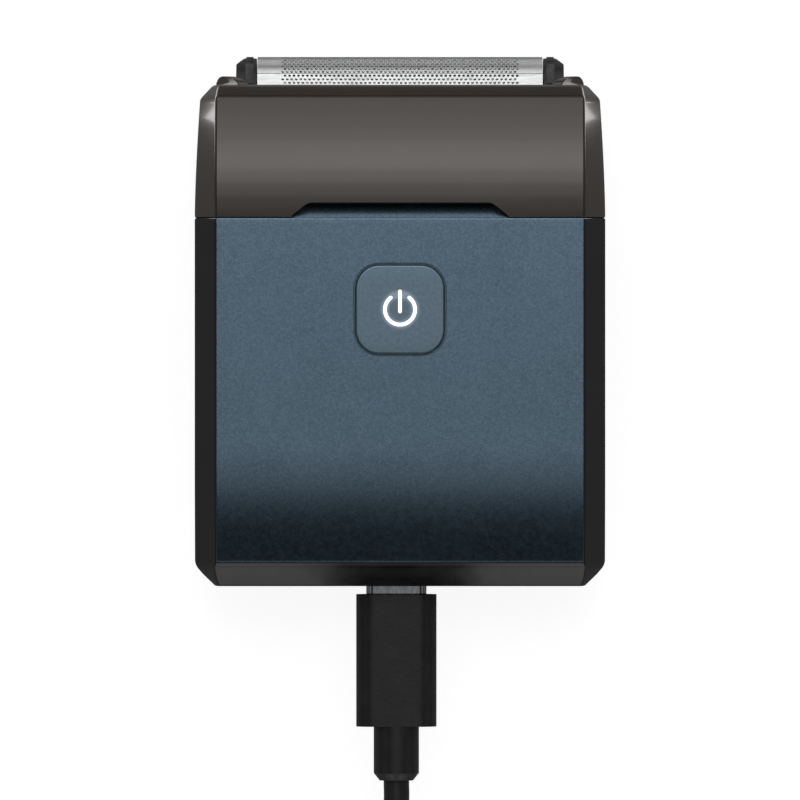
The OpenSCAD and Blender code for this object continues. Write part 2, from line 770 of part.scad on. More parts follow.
module end_cap_right() color("#161617") {
    cap_top = foil_top_y - 0.2;
    intersection() {
        along_x(end_x, cap_x) {
            translate([cap_top - cap_r, mid_z]) circle(cap_r);
            translate([cassette_seat, mid_z - cap_r])
                square([cap_top - cap_r - cassette_seat, 2 * cap_r]);
        }
        along_z(0, body_d) polygon([[end_x, cassette_seat], [cap_x, cassette_seat],
            [cap_x, cap_top - 0.9], [cap_x - 1.1, cap_top], [end_x, cap_top]]);
    }
}
module end_cap_left() mirror([1, 0, 0]) end_cap_right();
module foil_clamps() color("#4a4a4c") {
    centre = foil_top_y - 0.2 - cap_r;
    both_sides() along_x(end_x + 0.4, end_x + 1.5) intersection() {
        translate([centre, mid_z]) tube(cap_r + 0.2, cap_r);
        translate([rim_y + 0.2, mid_z - 2 * cap_r]) square([2.8, 4 * cap_r]);
    }
}

// Power button
module power_button() color("#5a6878") {
    difference() {
        union() {
            along_z(flange_z + flange_t - eps, body_d) translate([0, button_y])
                rounded(cap_w, cap_w, button_r - button_gap);
            along_z(flange_z, flange_z + flange_t) translate([0, button_y])
                rounded(flange_w, flange_w, button_r + 0.2);
        }
        translate([0, 0, body_d - 0.4]) linear_extrude(1) symbol();
    }
}
module symbol() {
    translate([0, button_y]) {
        difference() {
            tube(icon_r, icon_r - icon_line);
            polygon([[0, 0], [-2.6, 3.1], [2.6, 3.1]]);
        }
        translate([-icon_line / 2, icon_r - 2.8]) translate([0, 0.1])
            square([icon_line, 2.8]);
    }
}
module power_symbol() color("white")
    translate([0, 0, body_d - 0.4]) linear_extrude(0.4) symbol();
module switch_plunger() color("#26262a")
    translate([0, button_y, board_top + 0.6])
        cylinder(h = flange_z - board_top - 0.6, r = 1.2);

// Charging plug and cable
module usb_c_plug() color("#c2c4c8") {
    tip = port_y + plug_in - 0.8;
    difference() {
        along_y(grip_y, tip, port_x) rounded(plug_w, plug_t, plug_t / 2 - eps);
        along_y(port_y + 0.2, tip + 1, port_x) rounded(6.9, 1.1, 0.4);
    }
}
module usb_c_grip() color("#222224") {
    along_y(grip_y - grip_l, grip_y, port_x) rounded(grip_w, grip_t, 2.6);
    along_y(boot_end + 1, grip_y - grip_l + eps, port_x) circle(boot_r);
    translate([port_x, boot_end, mid_z]) rotate([-90, 0, 0])
        cylinder(h = 1 + eps, r1 = boot_r - 0.8, r2 = boot_r);
}
module cable_lead() color("#1e1e20")
    sweep(concat([[port_x, boot_end, mid_z]], [for (i = [1 : len(lead_points) - 1])
        lead_points[i]]), cord_r);
module cable_coil() color("#1e1e20")
    translate([coil_x, coil_y, tie_t]) rotate_extrude($fn = 64)
        translate([coil_mid_r, coil_h / 2]) rounded(coil_w, coil_h, cord_r);
module cable_tail() color("#1e1e20")
    sweep(tail_points, cord_r);
module cable_tie() color("#303034")
    translate([coil_x + coil_mid_r - coil_w / 2 - 0.35 - tie_t, coil_y - 3, 0]) difference() {
        cube([coil_w + 0.4 + 2 * tie_t, 6, coil_h + 2 * tie_t]);
        translate([tie_t, -1, tie_t]) cube([coil_w + 0.4, 8, coil_h]);
    }
module usb_a_grip() color("#222224") {
    along_y(grip_a_y, grip_a_y + grip_a_l, plug_a_x, plug_a_z)
        rounded(grip_a_w, 2 * plug_a_z, 2);
    translate([plug_a_x, plug_a_y - boot_a_l - eps, plug_a_z]) rotate([-90, 0, 0])
        cylinder(h = boot_a_l + eps, r1 = 3.4, r2 = 2.6);
}
module usb_a_shell() color("#c2c4c8")
    along_y(grip_a_y - shell_a_l, grip_a_y, plug_a_x, plug_a_z) difference() {
        rounded(shell_a_w, shell_a_t, 0.4);
        rounded(shell_a_w - 0.6, shell_a_t - 0.6, 0.2);
    }
module usb_a_tongue() color("#1a1a1c")
    translate([plug_a_x - shell_a_w / 2 + 0.5, grip_a_y - shell_a_l + 0.3,
               plug_a_z - shell_a_t / 2 + 0.3])
        cube([shell_a_w - 1, shell_a_l - 0.3, 1.9]);

front_shell();
rear_shell();
top_deck();
neck_gasket();
neck_magnets();
shaft_seal();
inner_frame();
frame_screws();
main_board();
board_chips();
tact_switch();
status_led();
button_seal();
charge_board();
usb_c_receptacle();
usb_c_tongue();
battery_cell();
battery_tabs();
battery_pad();
wire_leads();
motor_can();
motor_end_bell();
motor_magnets();
motor_bushings();
motor_bracket();
motor_screws();
bridge_base();
flexure_legs();
power_button();
power_symbol();
switch_plunger();
motor_shaft();
armature_core();
armature_windings();
commutator();
eccentric_cam();
drive_yoke();
drive_pin();
cutter_spring();
cutter_carrier();
cutter_blades();
head_cover();
head_frame();
strike_plates();
float_springs();
cassette_frame();
foil();
end_cap_left();
end_cap_right();
foil_clamps();
usb_c_plug();
usb_c_grip();
cable_lead();
cable_coil();
cable_tail();
cable_tie();
usb_a_grip();
usb_a_shell();
usb_a_tongue();
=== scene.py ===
import json
import math
import bmesh
import bpy
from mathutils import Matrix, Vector


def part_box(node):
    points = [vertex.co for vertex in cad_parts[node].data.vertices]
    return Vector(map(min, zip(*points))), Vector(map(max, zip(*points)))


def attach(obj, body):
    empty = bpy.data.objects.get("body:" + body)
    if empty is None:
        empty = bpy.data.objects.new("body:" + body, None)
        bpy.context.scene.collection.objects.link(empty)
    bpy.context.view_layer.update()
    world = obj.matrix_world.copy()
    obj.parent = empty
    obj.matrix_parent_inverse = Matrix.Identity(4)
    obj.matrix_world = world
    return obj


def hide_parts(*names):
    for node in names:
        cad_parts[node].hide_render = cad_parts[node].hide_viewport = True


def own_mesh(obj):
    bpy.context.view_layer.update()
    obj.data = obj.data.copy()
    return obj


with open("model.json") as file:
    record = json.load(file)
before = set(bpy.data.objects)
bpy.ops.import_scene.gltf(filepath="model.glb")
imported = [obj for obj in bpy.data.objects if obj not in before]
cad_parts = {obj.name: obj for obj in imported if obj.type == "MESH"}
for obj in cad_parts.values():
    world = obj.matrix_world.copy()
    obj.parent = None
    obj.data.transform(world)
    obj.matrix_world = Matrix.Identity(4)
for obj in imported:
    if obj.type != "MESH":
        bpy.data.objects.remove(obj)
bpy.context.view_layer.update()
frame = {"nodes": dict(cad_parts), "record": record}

MM = 0.001

# Sizes of the shaver in millimetres, as in the part's source. Places come from the frame.
WALL = 1.6
EDGE_X = 2.9
EDGE_Z = 4.5
CORNER_X = 0.35
CORNER_Z = 0.6
BASE_CUT = 3.1
BASE_RUN = 15.5
FACE_DROP = 2.2
RIM_BEVEL = 1.9
RIM_CORNER_X = 0.6
RIM_CORNER_Z = 2.4
HEAD_FLAT = 1
HEAD_TAPER = 0.7
TOP_WALL = 1.6
OPENING_W = 45.4
OPENING_D = 10.37
NOTCH_W = 29.8
NOTCH_H = 2.05
NOTCH_SLANT = 0.3
SEAM_GAP = 0.25
FINE_STEP = 0.12
EAR_H = 1.2
EAR_X = 23.8
EAR_RUN = 4.5
LIP_GAP = 0.2
LIP_FALL = 1.5
BUTTON_W = 12.75
BUTTON_R = 3.55
BUTTON_GAP = 0.3
BUTTON_EDGE = 0.28
FLANGE_T = 0.4
ICON_R = 2.3
ICON_LINE = 0.5
ICON_GAP = 38
ICON_BAR = 2.7
FOIL_R = 4.4
ARCH_DROP = 2.05
PORT_X = -0.5
PORT_GAP = 0.3
CORD_D = 3.5


def box_mm(node):
    """Lowest and highest corner of a node, in millimetres."""
    return [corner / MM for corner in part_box(node)]


# Levels read from the frame, in millimetres
rear_low, rear_high = box_mm("rear_shell")
button_low, button_high = box_mm("power_button")
foil_low, foil_high = box_mm("foil")
base_y = rear_low.y
seam_y = rear_high.y
rim_y = box_mm("head_cover")[1].y - EAR_H
top_z = box_mm("front_shell")[1].z
mid_z = (rear_low.z + top_z) / 2
half_w = rear_high.x
half_d = top_z - mid_z
face_x = half_w - EDGE_X
button_y = (button_low.y + button_high.y) / 2


# ---------------------------------------------------------------- camera and light

# Width of the view at mid depth, its centre, and the lens and sensor, all in millimetres
VIEW_WIDTH = 109.6
VIEW_CENTRE_Y = -10.8
FOCAL = 500
SENSOR = 36
CLIP_START = 0.05
CLIP_END = 60


def place_camera():
    data = bpy.data.cameras.new("camera")
    data.lens = FOCAL
    data.sensor_width = SENSOR
    data.clip_start = CLIP_START
    data.clip_end = CLIP_END
    camera = bpy.data.objects.new("camera", data)
    distance = FOCAL / SENSOR * VIEW_WIDTH * MM
    camera.location = (0, VIEW_CENTRE_Y * MM, mid_z * MM + distance)
    bpy.context.scene.collection.objects.link(camera)
    bpy.context.scene.camera = camera


def softbox(name, place, target, size, radiance):
    """Rectangular light at a place, facing its target, of an even radiance; all in metres."""
    data = bpy.data.lights.new(name, "AREA")
    data.shape = "RECTANGLE"
    data.size, data.size_y = size
    data.energy = radiance * math.pi * size[0] * size[1]
    light = bpy.data.objects.new(name, data)
    light.location = place
    light.rotation_mode = "QUATERNION"
    light.rotation_quaternion = (Vector(place) - Vector(target)).to_track_quat("Z", "Y")
    light.visible_camera = False
    bpy.context.scene.collection.objects.link(light)


# Radiance of the overhead strips, 4 degrees apart, from 12 degrees below the camera upwards
STRIPS = (0.38, 0.38, 0.36, 0.33, 0.45, 0.85, 1.45, 1.95, 1.8, 1.4, 1.2, 1.05, 0.95, 0.9, 0.85,
          0.85, 0.85, 0.8, 0.7, 0.6, 0.5, 0.4, 0.35, 0.3)
STRIP_STEP = 4
STRIP_START = -12
STRIP_SIZE = (0.9, 0.07)
# Height of the cards that lie on the floor and shine upwards, in metres
CARD_Z = 0.001


def hang_lights():
    """Strips overhead, graded like a large soft source, and cards round the shaver."""
    middle = Vector((0, 0, mid_z * MM))
    for k, radiance in enumerate(STRIPS):
        a = math.radians(STRIP_STEP * k + STRIP_START)
        softbox("strip", middle + Vector((0, math.sin(a), math.cos(a))), middle,
                STRIP_SIZE, radiance)
    side_y = (seam_y + 63) * MM
    for x in (-0.095, 0.095):
        softbox("side_card", (x, side_y, CARD_Z), (x, side_y, 1), (0.09, 0.09), 3.0)
    softbox("top_card", (0, 0.15, CARD_Z), (0, 0.15, 1), (0.3, 0.2), 0.25)
    for x in (-0.081, 0.081):
        softbox("low_card", (x, -0.22, 0.06), (x, 0, 0.06), (0.14, 0.11), 0.95)


def make_sky():
    """Dim room round the shaver, brightest in a band a third of the way up."""
    world = bpy.data.worlds.new("studio")
    world.use_nodes = True
    sky = world.node_tree
    toward = add(sky, "ShaderNodeTexCoord").outputs["Generated"]
    height = add(sky, "ShaderNodeSeparateXYZ", {0: toward}).outputs["Z"]
    rise = add(sky, "ShaderNodeMapRange", {
        "Value": height, "From Min": 0.1, "From Max": 0.32, "To Min": 0.02, "To Max": 0.28},
        interpolation_type="SMOOTHSTEP").outputs[0]
    fade = add(sky, "ShaderNodeMapRange", {
        "Value": height, "From Min": 0.5, "From Max": 0.8, "To Min": 1.0, "To Max": 0.05},
        interpolation_type="SMOOTHSTEP").outputs[0]
    strength = add(sky, "ShaderNodeMath", {0: rise, 1: fade}, operation="MULTIPLY").outputs[0]
    sky.nodes["Background"].inputs["Color"].default_value = (1, 1, 1, 1)
    sky.links.new(strength, sky.nodes["Background"].inputs["Strength"])
    bpy.context.scene.world = world
    bpy.context.scene.view_settings.view_transform = "Standard"


# ---------------------------------------------------------------- material helpers

def srgb(code):
    """Linear colour of an sRGB hex value."""
    parts = [int(code[i:i + 2], 16) / 255 for i in (1, 3, 5)]
    linear = [p / 12.92 if p <= 0.04045 else ((p + 0.055) / 1.055) ** 2.4 for p in parts]
    return (*linear, 1)


def add(tree, kind, inputs=None, **settings):
    """Adds a node; inputs maps a socket's name or number to a value or to another node's socket."""
    node = tree.nodes.new(kind)
    for name, value in settings.items():
        setattr(node, name, value)
    for name, value in (inputs or {}).items():
        named = [s for s in node.inputs if s.enabled and s.name == name]
        socket = named[0] if named else node.inputs[name]
        if isinstance(value, bpy.types.NodeSocket):
            tree.links.new(value, socket)
        else:
            socket.default_value = value
    return node


# A pattern that isn't drawn out along an axis
ROUND = (1, 1, 1)


def make_surface(name, even, patterns=()):
    """Material with even values on its Principled shader, and soft patterns on other sockets.

    A pattern is its socket, its two ends, the size of its features in millimetres, its detail
    and how far it is drawn out along x, y and z. The ends are colours or values, and for
    Normal they are the depth of the relief in millimetres and its strength.
    """
    material = bpy.data.materials.new(name)
    material.use_nodes = True
    tree = material.node_tree
    tree.nodes.clear()
    shader = add(tree, "ShaderNodeBsdfPrincipled", even)
    add(tree, "ShaderNodeOutputMaterial", {"Surface": shader.outputs[0]})
    place = add(tree, "ShaderNodeTexCoord").outputs["Object"]
    for socket, ends, size_mm, detail, stretch in patterns:
        drawn = add(tree, "ShaderNodeMapping", {
            "Vector": place, "Scale": [1 / s for s in stretch]}).outputs[0]
        grain = add(tree, "ShaderNodeTexNoise", {
            "Vector": drawn, "Scale": 0.6 / (size_mm * MM), "Detail": detail}).outputs["Fac"]
        if socket == "Normal":
            value = add(tree, "ShaderNodeBump", {
                "Height": grain, "Distance": ends[0] * MM, "Strength": ends[1]}).outputs[0]
        elif "Color" in socket:
            share = add(tree, "ShaderNodeMapRange", {
                "Value": grain, "From Min": 0.3, "From Max": 0.7}).outputs[0]
            value = add(tree, "ShaderNodeMix", {
                "Factor": share, "A": srgb(ends[0]), "B": srgb(ends[1])},
                data_type="RGBA").outputs[2]
        else:
            value = add(tree, "ShaderNodeMapRange", {
                "Value": grain, "From Min": 0.3, "From Max": 0.7,
                "To Min": ends[0], "To Max": ends[1]}).outputs[0]
        tree.links.new(value, shader.inputs[socket])
    return material, tree, shader


# ---------------------------------------------------------------- finishes

def pearl_paint():
    """Sprayed pearl paint under clear lacquer: deep slate blue with fine bright flake.

    Real flake is about 0.03 mm across, too fine to show, so it is drawn at 0.18 mm.
    """
    material, tree, shader = make_surface(
        "pearl_paint", {"Metallic": 1.0, "Coat Weight": 0.35, "Coat Roughness": 0.16},
        [("Base Color", ("#5e7687", "#637b8d"), 6, 3, ROUND),
         ("Roughness", (0.26, 0.31), 0.5, 2, ROUND), ("Normal", (0.003, 0.5), 0.25, 3, ROUND)])
    flake = add(tree, "ShaderNodeTexVoronoi", {
        "Vector": add(tree, "ShaderNodeTexCoord").outputs["Object"], "Scale": 1 / (0.18 * MM)})
    lot = add(tree, "ShaderNodeSeparateColor", {0: flake.outputs["Color"]}).outputs[0]
    bright = add(tree, "ShaderNodeMapRange", {
        "Value": lot, "From Min": 0.3, "From Max": 0.7, "To Min": -0.25, "To Max": 0.4}).outputs[0]
    base = shader.inputs["Base Color"]
    flecked = add(tree, "ShaderNodeMix", {
        "Factor": bright, "A": base.links[0].from_socket, "B": srgb("#8297a9")},
        data_type="RGBA").outputs[2]
    tree.links.new(flecked, base)
    return material


def side_gloss():
    """Moulded black gloss ABS on the side frame: near-black, with faint moulding ripple."""
    return make_surface(
        "side_gloss", {"IOR": 1.5},
        [("Base Color", ("#0b0b0c", "#111214"), 3, 2, ROUND),
         ("Roughness", (0.08, 0.14), 1.5, 4, ROUND), ("Normal", (0.006, 0.5), 7, 2, ROUND)])[0]


def button_satin():
    """Satin metallic lacquer on the moulded button, with light leaking round the clear symbol."""
    material, tree, shader = make_surface(
        "button_satin", {"Metallic": 1.0, "Coat Weight": 0.2, "Coat Roughness": 0.25,
                         "Emission Color": srgb("#dfe8ff")},
        [("Base Color", ("#6c828f", "#788d9e"), 0.3, 3, ROUND),
         ("Roughness", (0.32, 0.38), 0.5, 2, ROUND)])
    place = add(tree, "ShaderNodeTexCoord").outputs["Object"]
    local = add(tree, "ShaderNodeMapping", {
        "Vector": place, "Location": (0, -button_y * MM, 0), "Scale": (1, 1, 0)}).outputs[0]
    radius = add(tree, "ShaderNodeVectorMath", {0: local}, operation="LENGTH").outputs["Value"]
    off_ring = add(tree, "ShaderNodeMath", {0: radius, 1: (ICON_R - ICON_LINE / 2) * MM},
                   operation="SUBTRACT").outputs[0]
    gap = add(tree, "ShaderNodeMath", {0: off_ring}, operation="ABSOLUTE").outputs[0]
    glow = add(tree, "ShaderNodeMapRange", {
        "Value": gap, "From Min": 0.25 * MM, "From Max": 0.8 * MM, "To Min": 0.16, "To Max": 0.0},
        interpolation_type="SMOOTHSTEP").outputs[0]
    tree.links.new(glow, shader.inputs["Emission Strength"])
    return material


def lit_symbol():
    """Clear polycarbonate light guide lit from behind by a white LED, a little dimmer at places."""
    return make_surface(
        "lit_symbol", {"Base Color": srgb("#f4f7ff"), "Roughness": 0.35, "Emission Strength": 1.1},
        [("Emission Color", ("#f2f6ff", "#ffffff"), 0.8, 2, ROUND)])[0]


def bronze_gloss():
    """Smoked bronze lacquer on polished ABS: dark brown body under a broad soft reflection."""
    return make_surface(
        "bronze_gloss", {"IOR": 1.45, "Coat Weight": 1.0, "Coat Roughness": 0.085,
                         "Specular Tint": srgb("#fff3e9")},
        [("Base Color", ("#2a211a", "#31271e"), 9, 2, ROUND),
         ("Roughness", (0.17, 0.21), 2.5, 3, ROUND), ("Normal", (0.006, 0.4), 10, 2, ROUND)])[0]


def grained_plastic(name, dark, light, grain_mm, roughness, depth_mm):
    """Moulded plastic or rubber with spark-eroded grain, as a tool leaves it."""
    return make_surface(name, {"IOR": 1.5}, [
        ("Base Color", (dark, light), grain_mm * 6, 3, ROUND),
        ("Roughness", (roughness - 0.06, roughness + 0.06), grain_mm * 2, 3, ROUND),
        ("Normal", (depth_mm, 1.0), grain_mm, 3, ROUND)])[0]


def drawn_metal(name, dark, light, roughness, stretch, line_mm=0.12, depth_mm=0.004):
    """Ground, rolled or drawn metal: fine lines along one axis and a slightly uneven shine."""
    return make_surface(name, {"Metallic": 1.0}, [
        ("Base Color", (dark, light), line_mm, 2, stretch),
        ("Roughness", (roughness - 0.05, roughness + 0.07), line_mm * 3, 2, stretch),
        ("Normal", (depth_mm, 0.5), line_mm, 2, stretch)])[0]


def copper_winding():
    """Enamelled copper wire wound along the rotor: close glossy ridges of orange brown."""
    material, tree, shader = make_surface(
        "copper_winding", {"Metallic": 1.0, "Roughness": 0.28, "Coat Weight": 0.5})
    wires = add(tree, "ShaderNodeTexWave", {
        "Vector": add(tree, "ShaderNodeTexCoord").outputs["Object"],
        "Scale": 0.3 / (0.25 * MM), "Distortion": 1.0}, bands_direction="X").outputs["Fac"]
    share = add(tree, "ShaderNodeMapRange", {
        "Value": wires, "From Min": 0.3, "From Max": 0.7}).outputs[0]
    copper = add(tree, "ShaderNodeMix", {
        "Factor": share, "A": srgb("#7a3d1c"), "B": srgb("#c9763f")}, data_type="RGBA").outputs[2]
    ridges = add(tree, "ShaderNodeBump", {"Height": wires, "Distance": 0.06 * MM}).outputs[0]
    tree.links.new(copper, shader.inputs["Base Color"])
    tree.links.new(ridges, shader.inputs["Normal"])
    return material


def solder_mask():
    """Green solder mask over glass-fibre board, with pale copper tracks showing through."""
    material, tree, shader = make_surface("solder_mask", {"IOR": 1.5, "Roughness": 0.3})
    tracks = add(tree, "ShaderNodeTexBrick", {
        "Vector": add(tree, "ShaderNodeTexCoord").outputs["Object"], "Scale": 1 / (2.4 * MM),
        "Mortar Size": 0.03, "Color1": srgb("#14502f"), "Color2": srgb("#185a36"),
        "Mortar": srgb("#2f8a58")})
    raised = add(tree, "ShaderNodeBump", {
        "Height": tracks.outputs["Fac"], "Distance": 0.03 * MM}).outputs[0]
    tree.links.new(tracks.outputs["Color"], shader.inputs["Base Color"])
    tree.links.new(raised, shader.inputs["Normal"])
    return material


def cell_sleeve():
    """Heat-shrunk PVC sleeve on the battery cell: saturated blue with soft wrinkles."""
    return make_surface(
        "cell_sleeve", {"IOR": 1.53, "Coat Weight": 0.3},
        [("Base Color", ("#1d5c8c", "#24699d"), 8, 2, ROUND),
         ("Roughness", (0.22, 0.34), 2, 3, ROUND), ("Normal", (0.05, 1.0), 3, 3, (1, 3, 1))])[0]


def hook_tape():
    """Hook-and-loop nylon tape: a matte black nap of fine loops."""
    return make_surface(
        "hook_tape", {"Roughness": 0.9, "Sheen Weight": 0.5, "Sheen Roughness": 0.4},
        [("Base Color", ("#0c0c0d", "#2a2a2d"), 0.3, 4, ROUND),
         ("Normal", (0.12, 1.0), 0.3, 4, ROUND)])[0]


def make_finishes():
    """One material for each slot of the record, and the gloss that only the side frame has."""
    return {
        "shell_paint": pearl_paint(),
        "side_gloss": side_gloss(),
        "button_paint": button_satin(),
        "symbol_lens": lit_symbol(),
        "head_gloss": bronze_gloss(),
        # Black ABS off a finely eroded tool: satin, not quite even
        "black_plastic": grained_plastic("black_abs", "#141415", "#1c1c1e", 0.15, 0.36, 0.006),
        # Coarser grey ABS: the ribs catch the light along their tops
        "clamp_plastic": grained_plastic("grey_abs", "#2a2a2b", "#5c5c5d", 0.2, 0.45, 0.02),
        # Natural acetal: waxy off-white, smooth because it slides
        "white_plastic": grained_plastic("natural_acetal", "#d2cec2", "#e2ded3", 0.2, 0.4, 0.006),
        # Rolled and polished sheet: bright, with fine lines along the foil
        "foil_steel": drawn_metal("foil_steel", "#d6d7d8", "#efefef", 0.3, (6, 1, 1), 0.15, 0.001),
        # Ground stainless steel: grinding lines down each blade
        "blade_steel": drawn_metal("blade_steel", "#a9abae", "#c8cacc", 0.22, (1, 4, 1)),
        # Drawn wire: a bright line that runs with the wire
        "spring_steel": drawn_metal("spring_wire", "#a3a5a8", "#c4c6c9", 0.25, (1, 1, 4)),
        # Zinc plate on pressed steel: paler and duller than the blades
        "motor_steel": drawn_metal("zinc_plated_steel", "#96989a", "#b8babc", 0.33, (1, 5, 1)),
        # Nickel plate on drawn shells: nearly a mirror, a little warm
        "plug_metal": drawn_metal("nickel_plate", "#8f9092", "#b5b6b8", 0.16, (1, 6, 1)),
        # Pressed and sintered powder: dull grey, without a direction
        "magnet": drawn_metal("sintered_magnet", "#55565a", "#76787c", 0.5, ROUND, 0.3, 0.01),
        # Sintered bronze bearing metal: dull gold, oily
        "bronze": drawn_metal("sintered_bronze", "#8a6234", "#b98a52", 0.42, ROUND, 0.2, 0.01),
        "copper_wire": copper_winding(),
        "board_green": solder_mask(),
        "cell_sleeve": cell_sleeve(),
        # Silicone wire cover: soft red, hardly any shine
        "wire_jacket": grained_plastic("silicone_wire", "#7d1412", "#94201b", 0.2, 0.5, 0.004),
        # Moulded silicone seal: matte and nearly black
        "seal_rubber": grained_plastic("seal_silicone", "#18181a", "#242427", 0.25, 0.6, 0.01),
        # Extruded thermoplastic rubber: soft black with a broad dull shine
        "cable_jacket": grained_plastic("tpe_jacket", "#151516", "#212122", 0.3, 0.42, 0.02),
        "tie_fabric": hook_tape(),
    }


def dress_frame(finishes):
    """Gives every node of the frame the finish of its slot."""
    for part in frame["record"]["subparts"]:
        node = frame["nodes"][part["node"]]
        if not node.material_slots:
            node.data.materials.append(None)
        for slot in node.material_slots:
            slot.material = finishes[part["material_slot"]]


# ---------------------------------------------------------------- mesh helpers

def link(obj):
    bpy.context.scene.collection.objects.link(obj)
    return obj


def mesh_object(name, points, faces):
    """Object at the origin from points in millimetres, with its faces turned outwards."""
    mesh = bpy.data.meshes.new(name)
    mesh.from_pydata([[c * MM for c in p] for p in points], [], faces)
    tidy = bmesh.new()
    tidy.from_mesh(mesh)
    bmesh.ops.recalc_face_normals(tidy, faces=tidy.faces)
    tidy.to_mesh(mesh)
    tidy.free()
    return link(bpy.data.objects.new(name, mesh))


def settle(obj):
    """Turns an object with modifiers into a plain mesh."""
    graph = bpy.context.evaluated_depsgraph_get()
    mesh = bpy.data.meshes.new_from_object(obj.evaluated_get(graph), depsgraph=graph)
    obj.modifiers.clear()
    obj.data = mesh
    return obj


def combine(obj, tool, operation):
    """Exact boolean of obj with tool, which is used up."""
    step = obj.modifiers.new("combine", "BOOLEAN")
    step.operation = operation
    step.solver = "EXACT"
    step.object = tool
    settle(obj)
    bpy.data.objects.remove(tool)
    return obj


def smooth(obj, angle=30):
    """Smooth shading that stays crisp at edges over an angle and true on flat faces."""
    obj.data.shade_smooth()
    obj.data.set_sharp_from_angle(angle=math.radians(angle))
    weights = obj.modifiers.new("weights", "WEIGHTED_NORMAL")
    weights.keep_sharp = True
    return obj


def ease(obj, width_mm, segments=2, angle=35):
    """Rounds the edges that are sharper than an angle."""
    bevel = obj.modifiers.new("ease", "BEVEL")
    bevel.width = width_mm * MM
    bevel.segments = segments
    bevel.limit_method = "ANGLE"
    bevel.angle_limit = math.radians(angle)
    bevel.use_clamp_overlap = True
    settle(obj)
    return smooth(obj)


def rounded_outline(corners, radii, steps=5):
    """Outline with an arc of steps + 1 points at each corner; it turns either way."""
    outline = []
    count = len(corners)
    for i, corner in enumerate(corners):
        here = Vector(corner)
        back = (Vector(corners[i - 1]) - here).normalized()
        ahead = (Vector(corners[(i + 1) % count]) - here).normalized()
        half = back.angle(ahead) / 2
        radius = radii[i] if hasattr(radii, "__len__") else radii
        if radius == 0:
            outline.append(tuple(here))
            continue
        centre = here + (back + ahead).normalized() * (radius / math.sin(half))
        start = here + back * (radius / math.tan(half)) - centre
        turn = math.pi - 2 * half
        side = 1 if back.x * ahead.y - back.y * ahead.x < 0 else -1
        for k in range(steps + 1):
            a = side * turn * k / steps
            outline.append((centre.x + start.x * math.cos(a) - start.y * math.sin(a),
                            centre.y + start.x * math.sin(a) + start.y * math.cos(a)))
    return outline


def loft(name, rings):
    """Closed solid through rings of points of equal count, with flat ends."""
    count = len(rings[0])
    points = [p for ring in rings for p in ring]
    faces = []
    for r in range(len(rings) - 1):
        for k in range(count):
            a, b = r * count + k, r * count + (k + 1) % count
            faces.append((a, b, b + count, a + count))
    faces.append(tuple(range(count)))
    faces.append(tuple(range((len(rings) - 1) * count, len(rings) * count)))
    return mesh_object(name, points, faces)


def prism(name, outline, low, high, axis="z"):
    """Outline extruded along z (outline in x, y) or along y (outline in x, z)."""
    def at(p, level):
        return (p[0], p[1], level) if axis == "z" else (p[0], level, p[1])
    return loft(name, [[at(p, low) for p in outline], [at(p, high) for p in outline]])


def box_corners(width, height):
    return [(-width / 2, -height / 2), (width / 2, -height / 2),
            (width / 2, height / 2), (-width / 2, height / 2)]


def moved(outline, x, y):
    return [(px + x, py + y) for px, py in outline]


def eased_copy(node, width_mm, segments=2):
    """A copy of a node with its triangles merged into faces and its edges rounded."""
    copy = link(bpy.data.objects.new(node + "_part", frame["nodes"][node].data.copy()))
    tidy = bmesh.new()
    tidy.from_mesh(copy.data)
    bmesh.ops.remove_doubles(tidy, verts=tidy.verts, dist=0.001 * MM)
    bmesh.ops.dissolve_limit(tidy, angle_limit=math.radians(1), verts=tidy.verts,
                             edges=tidy.edges)
    tidy.to_mesh(copy.data)
    tidy.free()
    return ease(copy, width_mm, segments)


def finish_piece(piece, body, slot, material, *nodes):
    """Material, body and the nodes that the piece stands for; the slot argument is not used."""
    if material is not None:
        piece.data.materials.clear()
        piece.data.materials.append(material)
    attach(piece, body)
    if nodes:
        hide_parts(*nodes)
    return piece


# ---------------------------------------------------------------- charging cable

COIL_Y = -112
COIL_R = 19.5
COIL_BASE = 2.15
COIL_TURNS = 2
COIL_STEP = 15
CLIMB = 40
LEAD_POINTS = [
    (-0.5, -62.9, 11.5), (-0.5, -66, 11.5), (-1.3, -71.5, 11.2), (-3.5, -76.6, 10.3),
    (-7.1, -80.9, 8.9), (-11.7, -84, 6.8), (-16.4, -87.1, 4.8), (-20, -91.4, 3.4),
    (-22.2, -96.5, 2.5), (-23, -102, 2.2), (-23, -106, COIL_BASE),
]
TAIL_POINTS = [
    (-23, -116, 5.65), (-23, -120.5, 5.6), (-22.9, -125, 5.4), (-22.5, -129, 4.9),
    (-21.7, -133, 4.2), (-21.1, -137, 3.7), (-21, -141, 3.6),
]


def coil_points():
    """Two turns inwards on the floor, a climb, and two turns back out on top of them."""
    points = []
    turns = 360 * COIL_TURNS
    outer = COIL_R + CORD_D
    for a in range(0, 2 * turns + 1, COIL_STEP):
        r = outer - CORD_D * (a if a <= turns else 2 * turns - a) / 360
        lift = min(max((a - turns + CLIMB) / (2 * CLIMB), 0), 1)
        z = COIL_BASE + CORD_D * lift * lift * (3 - 2 * lift)
        turn = math.radians(180 + a)
        points.append((r * math.cos(turn), COIL_Y + r * math.sin(turn), z))
    return points


